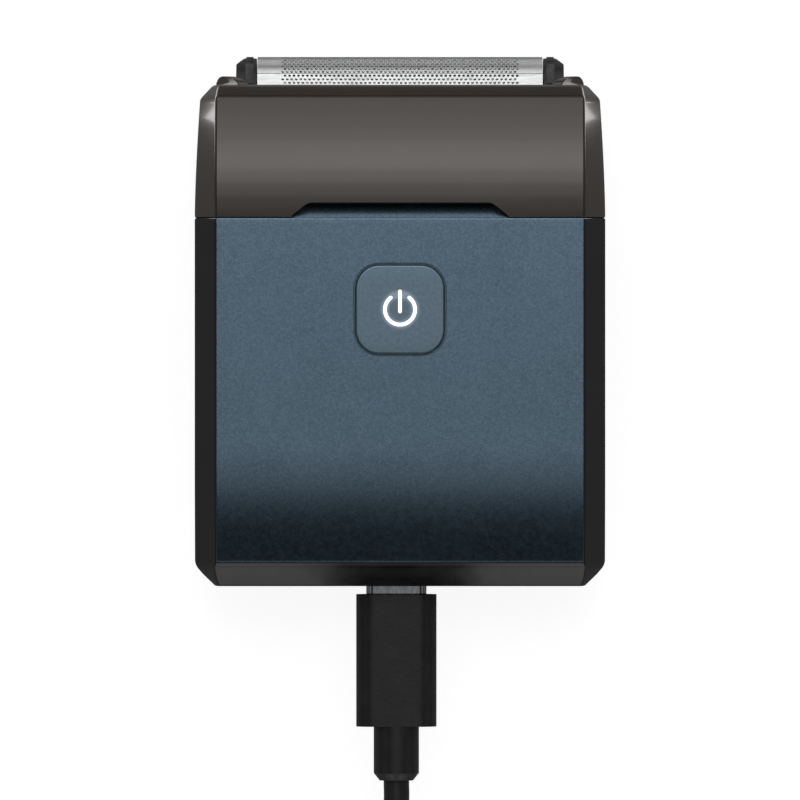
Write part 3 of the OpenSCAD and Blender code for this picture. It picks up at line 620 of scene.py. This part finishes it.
def make_cable(material):
    """The cord from the first plug's boot, through its coil, to the second plug's boot."""
    route = LEAD_POINTS + coil_points() + TAIL_POINTS
    data = bpy.data.curves.new("charging_cord", "CURVE")
    data.dimensions = "3D"
    data.bevel_depth = CORD_D / 2 * MM
    data.bevel_resolution = 4
    data.resolution_u = 6
    data.use_fill_caps = True
    line = data.splines.new("BEZIER")
    line.bezier_points.add(len(route) - 1)
    for knot, place in zip(line.bezier_points, route):
        knot.co = Vector(place) * MM
        knot.handle_left_type = knot.handle_right_type = "AUTO"
    cord = link(bpy.data.objects.new("charging_cord", data))
    return finish_piece(cord, "charging_cable", "cable_jacket", material,
                        "cable_lead", "cable_coil", "cable_tail")


def make_cable_ends(finishes):
    """Moulded grips, metal plug shells and the tie, all riding on the cable."""
    rows = (("usb_c_grip", 0.35, 3, "cable_jacket"), ("usb_a_grip", 0.15, 3, "cable_jacket"),
            ("usb_c_plug", 0.12, 2, "plug_metal"), ("usb_a_shell", 0.12, 2, "plug_metal"),
            ("cable_tie", 0.12, 2, "tie_fabric"))
    return [finish_piece(eased_copy(node, width, segments), "charging_cable", slot,
                         finishes[slot], node) for node, width, segments, slot in rows]


def lay_cable(finishes):
    cord = make_cable(finishes["cable_jacket"])
    ends = make_cable_ends(finishes)


# ---------------------------------------------------------------- handle

def sagitta(radius, run):
    return radius - math.sqrt(radius * radius - run * run)


def arc_radius(run, drop):
    return (run * run + drop * drop) / (2 * drop)


def handle_section(y):
    """Half width, half depth, half face width and chamfer depth at y above the base."""
    flat = BASE_CUT + BASE_RUN
    radius = arc_radius(BASE_RUN, FACE_DROP)
    depth = half_d - sagitta(radius, min(max(flat - y, 0), BASE_RUN))
    if y >= BASE_CUT:
        return half_w, depth, face_x, EDGE_Z
    t = max(y, 0) / BASE_CUT
    width = half_w - EDGE_X * (1 - t) ** 1.3
    return (width, depth - BASE_CUT * (1 - t), width - (CORNER_X + (EDGE_X - CORNER_X) * t),
            CORNER_Z + (EDGE_Z - CORNER_Z) * t)


def head_section(y):
    """The same for the head cover at y above the seam."""
    bevel_y = rim_y - seam_y - RIM_BEVEL
    radius = arc_radius(bevel_y - HEAD_FLAT, FACE_DROP)
    reach = min(max(y, 0), bevel_y)
    width = half_w - HEAD_TAPER * (reach / bevel_y) ** 1.5
    depth = half_d - sagitta(radius, max(reach - HEAD_FLAT, 0))
    t = max(y - bevel_y, 0) / RIM_BEVEL
    rim_w = width - RIM_BEVEL + 0.1
    return (width + (rim_w - width) * t, depth - RIM_BEVEL * t,
            face_x + (rim_w - RIM_CORNER_X - face_x) * t, EDGE_Z + (RIM_CORNER_Z - EDGE_Z) * t)


def softened(section, y, reach):
    """Mean of a section over a short stretch, which rounds the corners of its outline."""
    samples = [section(y + reach * k / 3) for k in range(-3, 4)]
    return [sum(values) / len(samples) for values in zip(*samples)]


def section_ring(sizes, y, inset, radius):
    """Eight-sided section with rounded corners, drawn in by inset, as points at y."""
    w, h, face, cut = sizes
    w, h, face, cut = w - inset, h - inset, face - 0.545 * inset, max(0.2, cut - 0.707 * inset)
    corners = [(face, h), (w, h - cut), (w, cut - h), (face, -h),
               (-face, -h), (-w, cut - h), (-w, h - cut), (-face, h)]
    outline = rounded_outline(corners, radius)
    return [(x, y, mid_z + z) for x, z in outline]


def levels(low, high, low_round, high_round, fine, step=0.8):
    """Heights for a loft and how far each is drawn in: rounded ends, and close steps at fine."""
    heights = {}
    for k in range(6):
        a = math.pi / 2 * k / 5
        heights[low + low_round * (1 - math.cos(a))] = low_round * (1 - math.sin(a))
        heights[high - high_round * (1 - math.cos(a))] = high_round * (1 - math.sin(a))
    count = int((high - low) / step)
    for k in range(1, count):
        heights[low + (high - low) * k / count] = 0
    for k in range(-5, 6):
        heights[fine + FINE_STEP * k] = 0
    ends = (low + low_round, high - high_round)
    kept = sorted(y for y, inset in heights.items() if inset or ends[0] <= y <= ends[1])
    spaced = [kept[0]] + [b for a, b in zip(kept, kept[1:]) if b - a > 1e-4]
    return [(y, heights[y]) for y in spaced]


def lofted_body(name, section, origin, heights, inset, radius, reach=0.3):
    rings = [section_ring(softened(section, y, reach), origin + y, inset + drawn, radius)
             for y, drawn in heights]
    return loft(name, rings)


def handle_solid():
    length = seam_y - base_y
    body = lofted_body("handle_skin", handle_section, base_y,
                       levels(0, length, 0.3, 0.22, BASE_CUT), 0, 0.5, 0.5)
    hollow = lofted_body("hollow", handle_section, base_y,
                         levels(WALL, length + 1, 0.3, 0.1, BASE_CUT, 2), WALL, 0.3)
    combine(body, hollow, "DIFFERENCE")
    port_low, port_high = box_mm("usb_c_receptacle")
    port_w = port_high.x - port_low.x + PORT_GAP
    port_h = port_high.z - port_low.z + PORT_GAP
    port = moved(rounded_outline(box_corners(port_w, port_h), port_h / 2 - 0.02, 8),
                 PORT_X, mid_z)
    return combine(body, prism("port", port, base_y - 1, base_y + WALL + 1, "y"), "DIFFERENCE")


def half_of(solid, name, front):
    """The front or the rear half of a solid, cut at mid depth."""
    half = link(bpy.data.objects.new(name, solid.data.copy()))
    low, high = (mid_z, top_z + 5) if front else (-5, mid_z)
    block = prism("block", moved(box_corners(3 * half_w, 90), 0, -11), low, high)
    return combine(half, block, "INTERSECT")


def thumb_lip():
    """Sloped catch for a thumbnail behind the notch of the head cover."""
    low = NOTCH_W / 2 - LIP_GAP
    high = low - NOTCH_H - LIP_GAP
    top = seam_y + NOTCH_H - LIP_GAP
    floor = top_z - WALL - 1.2
    slope = ((seam_y - 0.6, top_z - 0.15), (seam_y, top_z - 0.15), (top, top_z - LIP_FALL))
    points = []
    for y, z in slope:
        reach = low if y <= seam_y else high
        points += [(-reach, y, floor), (reach, y, floor), (reach, y, z), (-reach, y, z)]
    faces = [(4 * r + k, 4 * r + (k + 1) % 4, 4 * r + 4 + (k + 1) % 4, 4 * r + 4 + k)
             for r in range(2) for k in range(4)]
    return mesh_object("lip", points, faces + [(0, 1, 2, 3), (8, 9, 10, 11)])


def is_painted(face):
    """True on the front and back panels, their rounded top edges and the thumbnail catch."""
    x, y, z = face.center / MM
    outside = abs(z - mid_z) > half_d - 3
    panel = abs(face.normal.z) > 0.9 and abs(x) < face_x and base_y + BASE_CUT < y
    edge = y > seam_y - 0.24 and abs(face.normal.z) > 0.05 and abs(x) < face_x
    return outside and (face.normal.z * (z - mid_z) > 0) and (panel or edge)


def paint_panels(shell, finishes):
    shell.data.materials.clear()
    shell.data.materials.append(finishes["shell_paint"])
    shell.data.materials.append(finishes["side_gloss"])
    for face in shell.data.polygons:
        face.material_index = 0 if is_painted(face) else 1


def make_shells(finishes):
    solid = handle_solid()
    front = half_of(solid, "front_cover", True)
    rear = half_of(solid, "rear_cover", False)
    bpy.data.objects.remove(solid)
    combine(front, thumb_lip(), "UNION")
    opening = moved(rounded_outline(box_corners(BUTTON_W, BUTTON_W), BUTTON_R, 12), 0, button_y)
    combine(front, prism("opening", opening, mid_z + 5, top_z + 1), "DIFFERENCE")
    for shell, node in ((front, "front_shell"), (rear, "rear_shell")):
        ease(shell, 0.09, 2, 50)
        paint_panels(shell, finishes)
        finish_piece(shell, "handle", "shell_paint", None, node)


# ---------------------------------------------------------------- power button

def make_button(finishes):
    """Square cap with a rounded edge and a hardly visible crown, on its flange."""
    cap_w = BUTTON_W - 2 * BUTTON_GAP
    flange_w = BUTTON_W + 1
    flange_low = button_low.z + 0.04
    profile = [(flange_w, flange_low, 0.2), (flange_w, flange_low + FLANGE_T, 0.2),
               (cap_w, flange_low + FLANGE_T, 0)]
    for k in range(7):
        a = math.pi / 2 * k / 6
        profile.append((cap_w - 2 * BUTTON_EDGE * (1 - math.cos(a)),
                        top_z - BUTTON_EDGE - 0.03 + BUTTON_EDGE * math.sin(a), 0))
    profile.append((cap_w - 4, top_z - 0.01, 0))
    rings = []
    for width, z, grow in profile:
        on_cap = width < cap_w + 0.1
        radius = BUTTON_R - BUTTON_GAP - (cap_w - width) / 2 if on_cap else BUTTON_R + grow
        outline = rounded_outline(box_corners(width, width), radius, 12)
        rings.append([(x, button_y + y, z) for x, y in outline])
    cap = loft("button_cap", rings)
    smooth(cap)
    finish_piece(cap, "power_button", "button_paint", finishes["button_paint"], "power_button")


def stroke_outline(path, width, steps=8):
    """Outline of a line of even width along a path, with round ends."""
    outline = []
    for side in (1, -1):
        along = path if side == 1 else path[::-1]
        for i, place in enumerate(along):
            back = Vector(along[max(i - 1, 0)])
            ahead = Vector(along[min(i + 1, len(along) - 1)])
            run = (ahead - back).normalized()
            outline.append((place[0] - run.y * width / 2, place[1] + run.x * width / 2))
        run = (Vector(along[-1]) - Vector(along[-2])).normalized()
        for k in range(1, steps):
            a = math.pi / 2 - math.pi * k / steps
            outline.append((along[-1][0] + width / 2 * (run.x * math.cos(a) - run.y * math.sin(a)),
                            along[-1][1] + width / 2 * (run.y * math.cos(a) + run.x * math.sin(a))))
    return outline


def make_symbol(finishes):
    """Power symbol: a ring open at the top, and a bar, as one clear moulding."""
    middle = ICON_R - ICON_LINE / 2
    gap = math.radians(ICON_GAP)
    ring = [(middle * math.sin(a), button_y + middle * math.cos(a))
            for a in [gap + (2 * math.pi - 2 * gap) * k / 40 for k in range(41)]]
    bar = [(0, button_y + ICON_R + 0.15 - t) for t in (0, 1, 2, ICON_BAR)]
    low, high = top_z - 0.3, top_z + 0.01
    parts = [prism("symbol_part", stroke_outline(path, ICON_LINE), low, high)
             for path in (ring, bar)]
    points, faces = [], []
    for part in parts:
        base = len(points)
        points += [tuple(v.co / MM) for v in part.data.vertices]
        faces += [[base + i for i in face.vertices] for face in part.data.polygons]
        bpy.data.objects.remove(part)
    symbol = mesh_object("clear_symbol", points, faces)
    smooth(symbol)
    finish_piece(symbol, "power_button", "symbol_lens", finishes["symbol_lens"], "power_symbol")


# ---------------------------------------------------------------- head cover

def raised_end(side):
    """Low hump on the rim beside the foil, as wide as the head's side."""
    rim_half_d = head_section(rim_y - seam_y - RIM_BEVEL)[1] - RIM_BEVEL
    ear_low, ear_high = face_x - EAR_RUN, face_x + 0.1
    rings = []
    for k in range(9):
        a = math.pi / 2 * k / 8
        up, share = math.sin(a), 1 - math.cos(a)
        x0 = ear_low + (EAR_X - 0.5 - ear_low) * share
        x1 = ear_high + (EAR_X + 0.5 - ear_high) * share
        reach = rim_half_d - 2.4 * share
        cut = max(3.2 * (1 - share), 0.3)
        outline = rounded_outline([(x0, -reach), (x1 - cut, -reach), (x1, 1.5 * cut - reach),
                                   (x1, reach - 1.5 * cut), (x1 - cut, reach), (x0, reach)],
                                  0.3, 4)
        rings.append([(side * x, rim_y - 0.3 + (EAR_H + 0.3) * up, mid_z + z) for x, z in outline])
    return loft("raised_end", rings)


def make_head(finishes):
    length = rim_y - seam_y
    bevel_y = length - RIM_BEVEL
    head = lofted_body("head_shell", head_section, seam_y,
                       levels(0.03, length, SEAM_GAP, 0.3, bevel_y), 0, 0.5)
    for side in (-1, 1):
        combine(head, raised_end(side), "UNION")
    hollow = lofted_body("hollow", head_section, seam_y,
                         levels(-1, length - TOP_WALL, 0.1, 0.3, bevel_y, 2), WALL, 0.3)
    combine(head, hollow, "DIFFERENCE")
    opening = moved(rounded_outline(box_corners(OPENING_W, OPENING_D), 1, 6), 0, mid_z)
    combine(head, prism("opening", opening, rim_y - TOP_WALL - 1, rim_y + 3, "y"), "DIFFERENCE")
    half = NOTCH_W / 2
    notch = [(-half, seam_y - 1), (half, seam_y - 1), (half, seam_y + 0.1),
             (half - NOTCH_H - NOTCH_SLANT, seam_y + NOTCH_H),
             (NOTCH_H + NOTCH_SLANT - half, seam_y + NOTCH_H),
             (-half, seam_y + 0.1)]
    shape = rounded_outline(notch, [0, 0, 1.0, 1.8, 1.8, 1.0], 6)
    combine(head, prism("notch", shape, mid_z + 5, top_z + 1), "DIFFERENCE")
    ease(head, 0.1, 2, 50)
    finish_piece(head, "head", "head_gloss", finishes["head_gloss"], "head_cover")


# ---------------------------------------------------------------- foil and its cassette

FOIL_HALF_W = 19.5
SHEET_T = 0.07
PIERCED_HALF_W = 16.1
# Real holes are closer and finer, and wouldn't show: these are drawn as coarse as they have to be
HOLE_PITCH = 0.61
HOLE_W = 0.42
HOLE_H = 0.36
ARCH_ROWS = 10
CREASE_GAP = 0.1
CREASE_DEPTH = 0.07
FLARE = 0.07
FLARE_REACH = 2
RIBS = 23
RIB_R = 0.11
RIB_L = 1.0
RIB_X = 20.55


def make_tree(name, inputs):
    """Geometry tree with named inputs; returns it with their sockets by name."""
    tree = bpy.data.node_groups.new(name, "GeometryNodeTree")
    tree.interface.new_socket("Geometry", in_out="INPUT", socket_type="NodeSocketGeometry")
    for label, kind in inputs.items():
        tree.interface.new_socket(label, in_out="INPUT", socket_type="NodeSocket" + kind)
    tree.interface.new_socket("Geometry", in_out="OUTPUT", socket_type="NodeSocketGeometry")
    return tree, {socket.name: socket for socket in add(tree, "NodeGroupInput").outputs}


def work_out(tree, known, steps):
    """Works through steps of (result, operation, terms) and adds each result to the known ones.

    A term is a number or the name of a known value.
    """
    for result, operation, *terms in steps:
        sockets = {k: known[t] if isinstance(t, str) else t for k, t in enumerate(terms)}
        known[result] = add(tree, "ShaderNodeMath", sockets, operation=operation).outputs[0]


def close_tree(tree, geometry, material):
    """The last nodes of every tree: Realize Instances, then Set Material."""
    plain = add(tree, "GeometryNodeRealizeInstances", {"Geometry": geometry}).outputs[0]
    shown = add(tree, "GeometryNodeSetMaterial", {"Geometry": plain, "Material": material})
    add(tree, "NodeGroupOutput", {"Geometry": shown.outputs[0]})


def grow(name, tree, values):
    """Plain mesh that a geometry tree makes with these values for its named inputs."""
    seed = link(bpy.data.objects.new(name, bpy.data.meshes.new(name)))
    step = seed.modifiers.new("grow", "NODES")
    step.node_group = tree
    for item in tree.interface.items_tree:
        if item.in_out == "INPUT" and item.name in values:
            step[item.identifier] = values[item.name]
    return settle(seed)


def pierced_sheet_tree():
    """Staggered tiles with a hole in each, bent over an arch with straight skirts."""
    tree, known = make_tree("pierced_sheet", {
        "Columns": "Int", "Rows": "Int", "Column pitch": "Float", "Row pitch": "Float",
        "Hole width": "Float", "Hole height": "Float", "Pierced half width": "Float",
        "Pierced reach": "Float", "Sheet half width": "Float", "Arch radius": "Float",
        "Arch reach": "Float", "Crease gap": "Float", "Centre": "Vector",
        "Material": "Material"})
    known["index"] = add(tree, "GeometryNodeInputIndex").outputs[0]

    # A grid of points, every other row moved by half a pitch
    work_out(tree, known, [
        ("gaps across", "SUBTRACT", "Columns", 1),
        ("grid width", "MULTIPLY", "gaps across", "Column pitch"),
        ("gaps along", "SUBTRACT", "Rows", 1),
        ("grid length", "MULTIPLY", "gaps along", "Row pitch"),
        ("row", "MODULO", "index", "Rows"),
        ("odd", "MODULO", "row", 2),
        ("side", "SUBTRACT", "odd", 0.5),
        ("pitch aside", "MULTIPLY", "side", "Column pitch"),
        ("shift", "MULTIPLY", "pitch aside", 0.5)])
    grid = add(tree, "GeometryNodeMeshGrid", {
        "Size X": known["grid width"], "Size Y": known["grid length"],
        "Vertices X": known["Columns"], "Vertices Y": known["Rows"]}).outputs["Mesh"]
    offset = add(tree, "ShaderNodeCombineXYZ", {"X": known["shift"]}).outputs[0]
    staggered = add(tree, "GeometryNodeSetPosition", {
        "Geometry": grid, "Offset": offset}).outputs[0]

    # On each point a strip of eight faces that closes into the ring round a hole
    place = add(tree, "GeometryNodeInputPosition").outputs[0]
    keep = add(tree, "GeometryNodeStoreNamedAttribute", {
        "Geometry": staggered, "Name": "tile", "Value": place},
        data_type="FLOAT_VECTOR", domain="POINT").outputs[0]
    strip = add(tree, "GeometryNodeMeshGrid", {
        "Size X": 1.0, "Size Y": 1.0, "Vertices X": 9, "Vertices Y": 2}).outputs["Mesh"]
    tiles = add(tree, "GeometryNodeRealizeInstances", {
        "Geometry": add(tree, "GeometryNodeInstanceOnPoints", {
            "Points": keep, "Instance": strip}).outputs[0]}).outputs[0]
    centre = add(tree, "GeometryNodeInputNamedAttribute", {"Name": "tile"},
                 data_type="FLOAT_VECTOR").outputs[0]
    from_centre = add(tree, "ShaderNodeVectorMath", {0: place, 1: centre},
                      operation="SUBTRACT").outputs[0]
    for label, vector in (("local", from_centre), ("tile", centre)):
        for axis, socket in add(tree, "ShaderNodeSeparateXYZ", {0: vector}).outputs.items():
            known[label + " " + axis] = socket
    work_out(tree, known, [
        ("share", "ADD", "local X", 0.5),
        ("turn", "MULTIPLY", "share", 2 * math.pi),
        ("inward", "ADD", "local Y", 0.5),
        ("away x", "ABSOLUTE", "tile X"),
        ("away y", "ABSOLUTE", "tile Y"),
        ("within width", "LESS_THAN", "away x", "Pierced half width"),
        ("within reach", "LESS_THAN", "away y", "Pierced reach"),
        ("pierced", "MULTIPLY", "within width", "within reach")])

    # Each ring runs from the tile's square edge to its hole, which is closed where none is pierced
    for axis, wave, pitch, hole in (("X", "COSINE", "Column pitch", "Hole width"),
                                    ("Y", "SINE", "Row pitch", "Hole height")):
        work_out(tree, known, [
            ("swing", wave, "turn"),
            ("wide", "MULTIPLY", "swing", math.sqrt(2)),
            ("not under", "MAXIMUM", "wide", -1),
            ("square", "MINIMUM", "not under", 1),
            ("half pitch", "MULTIPLY", pitch, 0.5),
            ("outer", "MULTIPLY", "square", "half pitch"),
            ("half hole", "MULTIPLY", hole, 0.5),
            ("hole edge", "MULTIPLY", "swing", "half hole"),
            ("inner", "MULTIPLY", "hole edge", "pierced"),
            ("whole step", "SUBTRACT", "inner", "outer"),
            ("step", "MULTIPLY", "whole step", "inward"),
            ("on ring", "ADD", "outer", "step"),
            ("flat " + axis, "ADD", "tile " + axis, "on ring")])

    # The flat sheet is trimmed to its width, then bent over the arch and down the skirts
    work_out(tree, known, [
        ("left edge", "MULTIPLY", "Sheet half width", -1),
        ("right trimmed", "MINIMUM", "flat X", "Sheet half width"),
        ("x", "MAXIMUM", "right trimmed", "left edge"),
        ("far reach", "MULTIPLY", "Arch reach", -1),
        ("near end", "MINIMUM", "flat Y", "Arch reach"),
        ("on arch", "MAXIMUM", "near end", "far reach"),
        ("angle", "DIVIDE", "on arch", "Arch radius"),
        ("along", "ABSOLUTE", "flat Y"),
        ("past arch", "SUBTRACT", "along", "Arch reach"),
        ("beyond", "MAXIMUM", "past arch", 0),
        ("on skirt", "GREATER_THAN", "away y", "Arch reach"),
        ("gap", "MULTIPLY", "on skirt", "Crease gap"),
        ("cosine", "COSINE", "angle"),
        ("rise", "MULTIPLY", "cosine", "Arch radius"),
        ("drop", "ADD", "beyond", "gap"),
        ("y", "SUBTRACT", "rise", "drop"),
        ("near crease", "MINIMUM", "beyond", FLARE_REACH * MM),
        ("flare", "MULTIPLY", "near crease", FLARE),
        ("front or back", "SIGN", "angle"),
        ("outward", "MULTIPLY", "front or back", "flare"),
        ("sine", "SINE", "angle"),
        ("run", "MULTIPLY", "sine", "Arch radius"),
        ("z", "ADD", "run", "outward")])
    bent = add(tree, "ShaderNodeVectorMath", {
        0: add(tree, "ShaderNodeCombineXYZ", {axis.upper(): known[axis] for axis in "xyz"}
               ).outputs[0],
        1: known["Centre"]}, operation="ADD").outputs[0]
    sheet = add(tree, "GeometryNodeSetPosition", {"Geometry": tiles, "Position": bent}).outputs[0]
    whole = add(tree, "GeometryNodeMergeByDistance", {
        "Geometry": sheet, "Distance": 0.004 * MM}).outputs[0]
    close_tree(tree, whole, known["Material"])
    return tree


def add_creases(mesh, bend):
    """Closes the gap between the arch and each skirt with a shallow pressed crease."""
    arch_y = foil_high.y - FOIL_R
    crease_y = arch_y + ARCH_DROP
    crease_z = FOIL_R * math.sin(bend)
    shape = bmesh.new()
    shape.from_mesh(mesh)
    for side in (-1, 1):
        lines = [[shape.verts.new(Vector((x, crease_y - down, mid_z + side * z)) * MM)
                  for x in (-FOIL_HALF_W, FOIL_HALF_W)]
                 for down, z in ((0, crease_z), (CREASE_GAP / 2, crease_z - CREASE_DEPTH),
                                 (CREASE_GAP, crease_z))]
        for a, b in zip(lines, lines[1:]):
            shape.faces.new((a[0], a[1], b[1], b[0]))
    bmesh.ops.recalc_face_normals(shape, faces=shape.faces)
    for face in shape.faces:
        out = face.calc_center_median() - Vector((0, arch_y * MM, mid_z * MM))
        if face.normal.dot(Vector((0, max(out.y, 0), out.z))) < 0:
            face.normal_flip()
    shape.to_mesh(mesh)
    shape.free()


def make_foil(finishes):
    """Thin arched sheet with staggered holes, plain ends, and a creased skirt on each side."""
    bend = math.acos(ARCH_DROP / FOIL_R)
    pitch = FOIL_R * bend / ARCH_ROWS
    skirt = foil_high.y - FOIL_R + ARCH_DROP - foil_low.y
    foil = grow("pierced_foil", pierced_sheet_tree(), {
        "Columns": 2 * int(FOIL_HALF_W / HOLE_PITCH) + 3,
        "Rows": 2 * (ARCH_ROWS + int(skirt / pitch)),
        "Column pitch": HOLE_PITCH * MM, "Row pitch": pitch * MM,
        "Hole width": HOLE_W * MM, "Hole height": HOLE_H * MM,
        "Pierced half width": PIERCED_HALF_W * MM,
        "Pierced reach": (ARCH_ROWS + 4) * pitch * MM, "Sheet half width": FOIL_HALF_W * MM,
        "Arch radius": FOIL_R * MM, "Arch reach": FOIL_R * bend * MM,
        "Crease gap": CREASE_GAP * MM,
        "Centre": (0, (foil_high.y - FOIL_R) * MM, mid_z * MM),
        "Material": finishes["foil_steel"]})
    add_creases(foil.data, bend)
    thick = foil.modifiers.new("thick", "SOLIDIFY")
    thick.thickness = SHEET_T * MM
    thick.offset = -1
    settle(foil)
    smooth(foil, 40)
    finish_piece(foil, "cassette", "foil_steel", None, "foil")


def ribs_tree():
    """Small round ribs side by side over an arc, at the left and the right."""
    tree, known = make_tree("arc_ribs", {
        "Count": "Int", "Rib radius": "Float", "Rib length": "Float", "Arc radius": "Float",
        "Arc half angle": "Float", "Side distance": "Float", "Centre": "Vector",
        "Material": "Material"})
    known["index"] = add(tree, "GeometryNodeInputIndex").outputs[0]
    work_out(tree, known, [
        ("spots", "MULTIPLY", "Count", 2),
        ("odd", "MODULO", "index", 2),
        ("twice odd", "MULTIPLY", "odd", 2),
        ("side", "SUBTRACT", "twice odd", 1),
        ("half index", "MULTIPLY", "index", 0.5),
        ("rib", "FLOOR", "half index"),
        ("last rib", "SUBTRACT", "Count", 1),
        ("share", "DIVIDE", "rib", "last rib"),
        ("twice share", "MULTIPLY", "share", 2),
        ("from middle", "SUBTRACT", "twice share", 1),
        ("angle", "MULTIPLY", "from middle", "Arc half angle"),
        ("cosine", "COSINE", "angle"),
        ("sine", "SINE", "angle"),
        ("x", "MULTIPLY", "side", "Side distance"),
        ("y", "MULTIPLY", "cosine", "Arc radius"),
        ("z", "MULTIPLY", "sine", "Arc radius")])
    spots = add(tree, "GeometryNodeMeshLine", {"Count": known["spots"]}).outputs[0]
    spot = add(tree, "ShaderNodeCombineXYZ", {axis.upper(): known[axis] for axis in "xyz"})
    place = add(tree, "ShaderNodeVectorMath", {0: spot.outputs[0], 1: known["Centre"]},
                operation="ADD").outputs[0]
    spots = add(tree, "GeometryNodeSetPosition", {
        "Geometry": spots, "Position": place}).outputs[0]
    rib = add(tree, "GeometryNodeMeshCylinder", {
        "Vertices": 8, "Radius": known["Rib radius"], "Depth": known["Rib length"]}).outputs[0]
    ribs = add(tree, "GeometryNodeInstanceOnPoints", {
        "Points": spots, "Instance": rib, "Rotation": (0, math.pi / 2, 0)}).outputs[0]
    close_tree(tree, ribs, known["Material"])
    return tree


def make_cassette_trim(finishes):
    """End caps and the ribbed clamps that hold the foil."""
    for node, width, slot in (("end_cap_left", 0.3, "black_plastic"),
                              ("end_cap_right", 0.3, "black_plastic"),
                              ("foil_clamps", 0.06, "clamp_plastic")):
        finish_piece(eased_copy(node, width, 3), "cassette", slot, finishes[slot], node)
    clamp_low, clamp_high = box_mm("foil_clamps")
    arc = clamp_high.z - mid_z
    centre_y = box_mm("end_cap_right")[1].y - (FOIL_R + 0.2)
    ribs = grow("clamp_ribs", ribs_tree(), {
        "Count": RIBS, "Rib radius": RIB_R * MM, "Rib length": RIB_L * MM, "Arc radius": arc * MM,
        "Arc half angle": math.acos((clamp_low.y + 0.2 - centre_y) / arc),
        "Side distance": RIB_X * MM, "Centre": (0, centre_y * MM, mid_z * MM),
        "Material": finishes["clamp_plastic"]})
    smooth(ribs, 50)
    finish_piece(ribs, "cassette", "clamp_plastic", None)


# ---------------------------------------------------------------- inner pieces that can be seen

def make_inner_pieces(finishes):
    """Eased copies of the pieces that show once the head is off or through the foil."""
    slots = {part["node"]: part["material_slot"] for part in frame["record"]["subparts"]}
    bodies = frame["record"]["behaviour"]["bodies"]
    homes = {node: body for body, nodes in bodies.items() for node in nodes}
    for node, width in (("top_deck", 0.2), ("neck_gasket", 0.15), ("neck_magnets", 0.1),
                        ("head_frame", 0.15), ("cassette_frame", 0.15), ("drive_pin", 0.1),
                        ("cutter_carrier", 0.12), ("usb_c_receptacle", 0.05)):
        piece = eased_copy(node, width, 2)
        finish_piece(piece, homes[node], slots[node], finishes[slots[node]], node)


def make_springs(finishes):
    """Springs under the foil and the cutter, riding on the head and the oscillator."""
    for node, body, joint in (("float_springs", "head", "foil_float"),
                              ("cutter_spring", "oscillator", "cutter_float")):
        spring = link(bpy.data.objects.new(node + "_part", frame["nodes"][node].data.copy()))
        settle(smooth(spring, 50))
        finish_piece(spring, body, "spring_steel", finishes["spring_steel"], node)
        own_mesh(spring)


# ---------------------------------------------------------------- floor

FLOOR_REACH = 15000
FLOOR_Z = -0.05


def make_floor():
    """Large floor, lit through from below as a light table is, and dim in what it mirrors."""
    material, tree, shader = make_surface(
        "pale_floor", {"Roughness": 0.9, "Emission Color": srgb("#ffffff")},
        [("Base Color", ("#a2a2a3", "#a6a6a7"), 40, 2, ROUND)])
    seen = add(tree, "ShaderNodeLightPath").outputs["Is Camera Ray"]
    glow = add(tree, "ShaderNodeMath", {0: seen, 1: 0.84, 2: 0.05},
               operation="MULTIPLY_ADD").outputs[0]
    tree.links.new(glow, shader.inputs["Emission Strength"])
    corners = box_corners(2 * FLOOR_REACH, 2 * FLOOR_REACH)
    floor = mesh_object("floor", [(x, y, FLOOR_Z) for x, y in corners], [(0, 1, 2, 3)])
    floor.data.materials.append(material)


# ---------------------------------------------------------------- the whole

place_camera()
finishes = make_finishes()
dress_frame(finishes)
lay_cable(finishes)
hang_lights()
make_sky()
make_floor()
make_shells(finishes)
make_button(finishes)
make_symbol(finishes)
make_head(finishes)
make_foil(finishes)
make_cassette_trim(finishes)
make_inner_pieces(finishes)
make_springs(finishes)
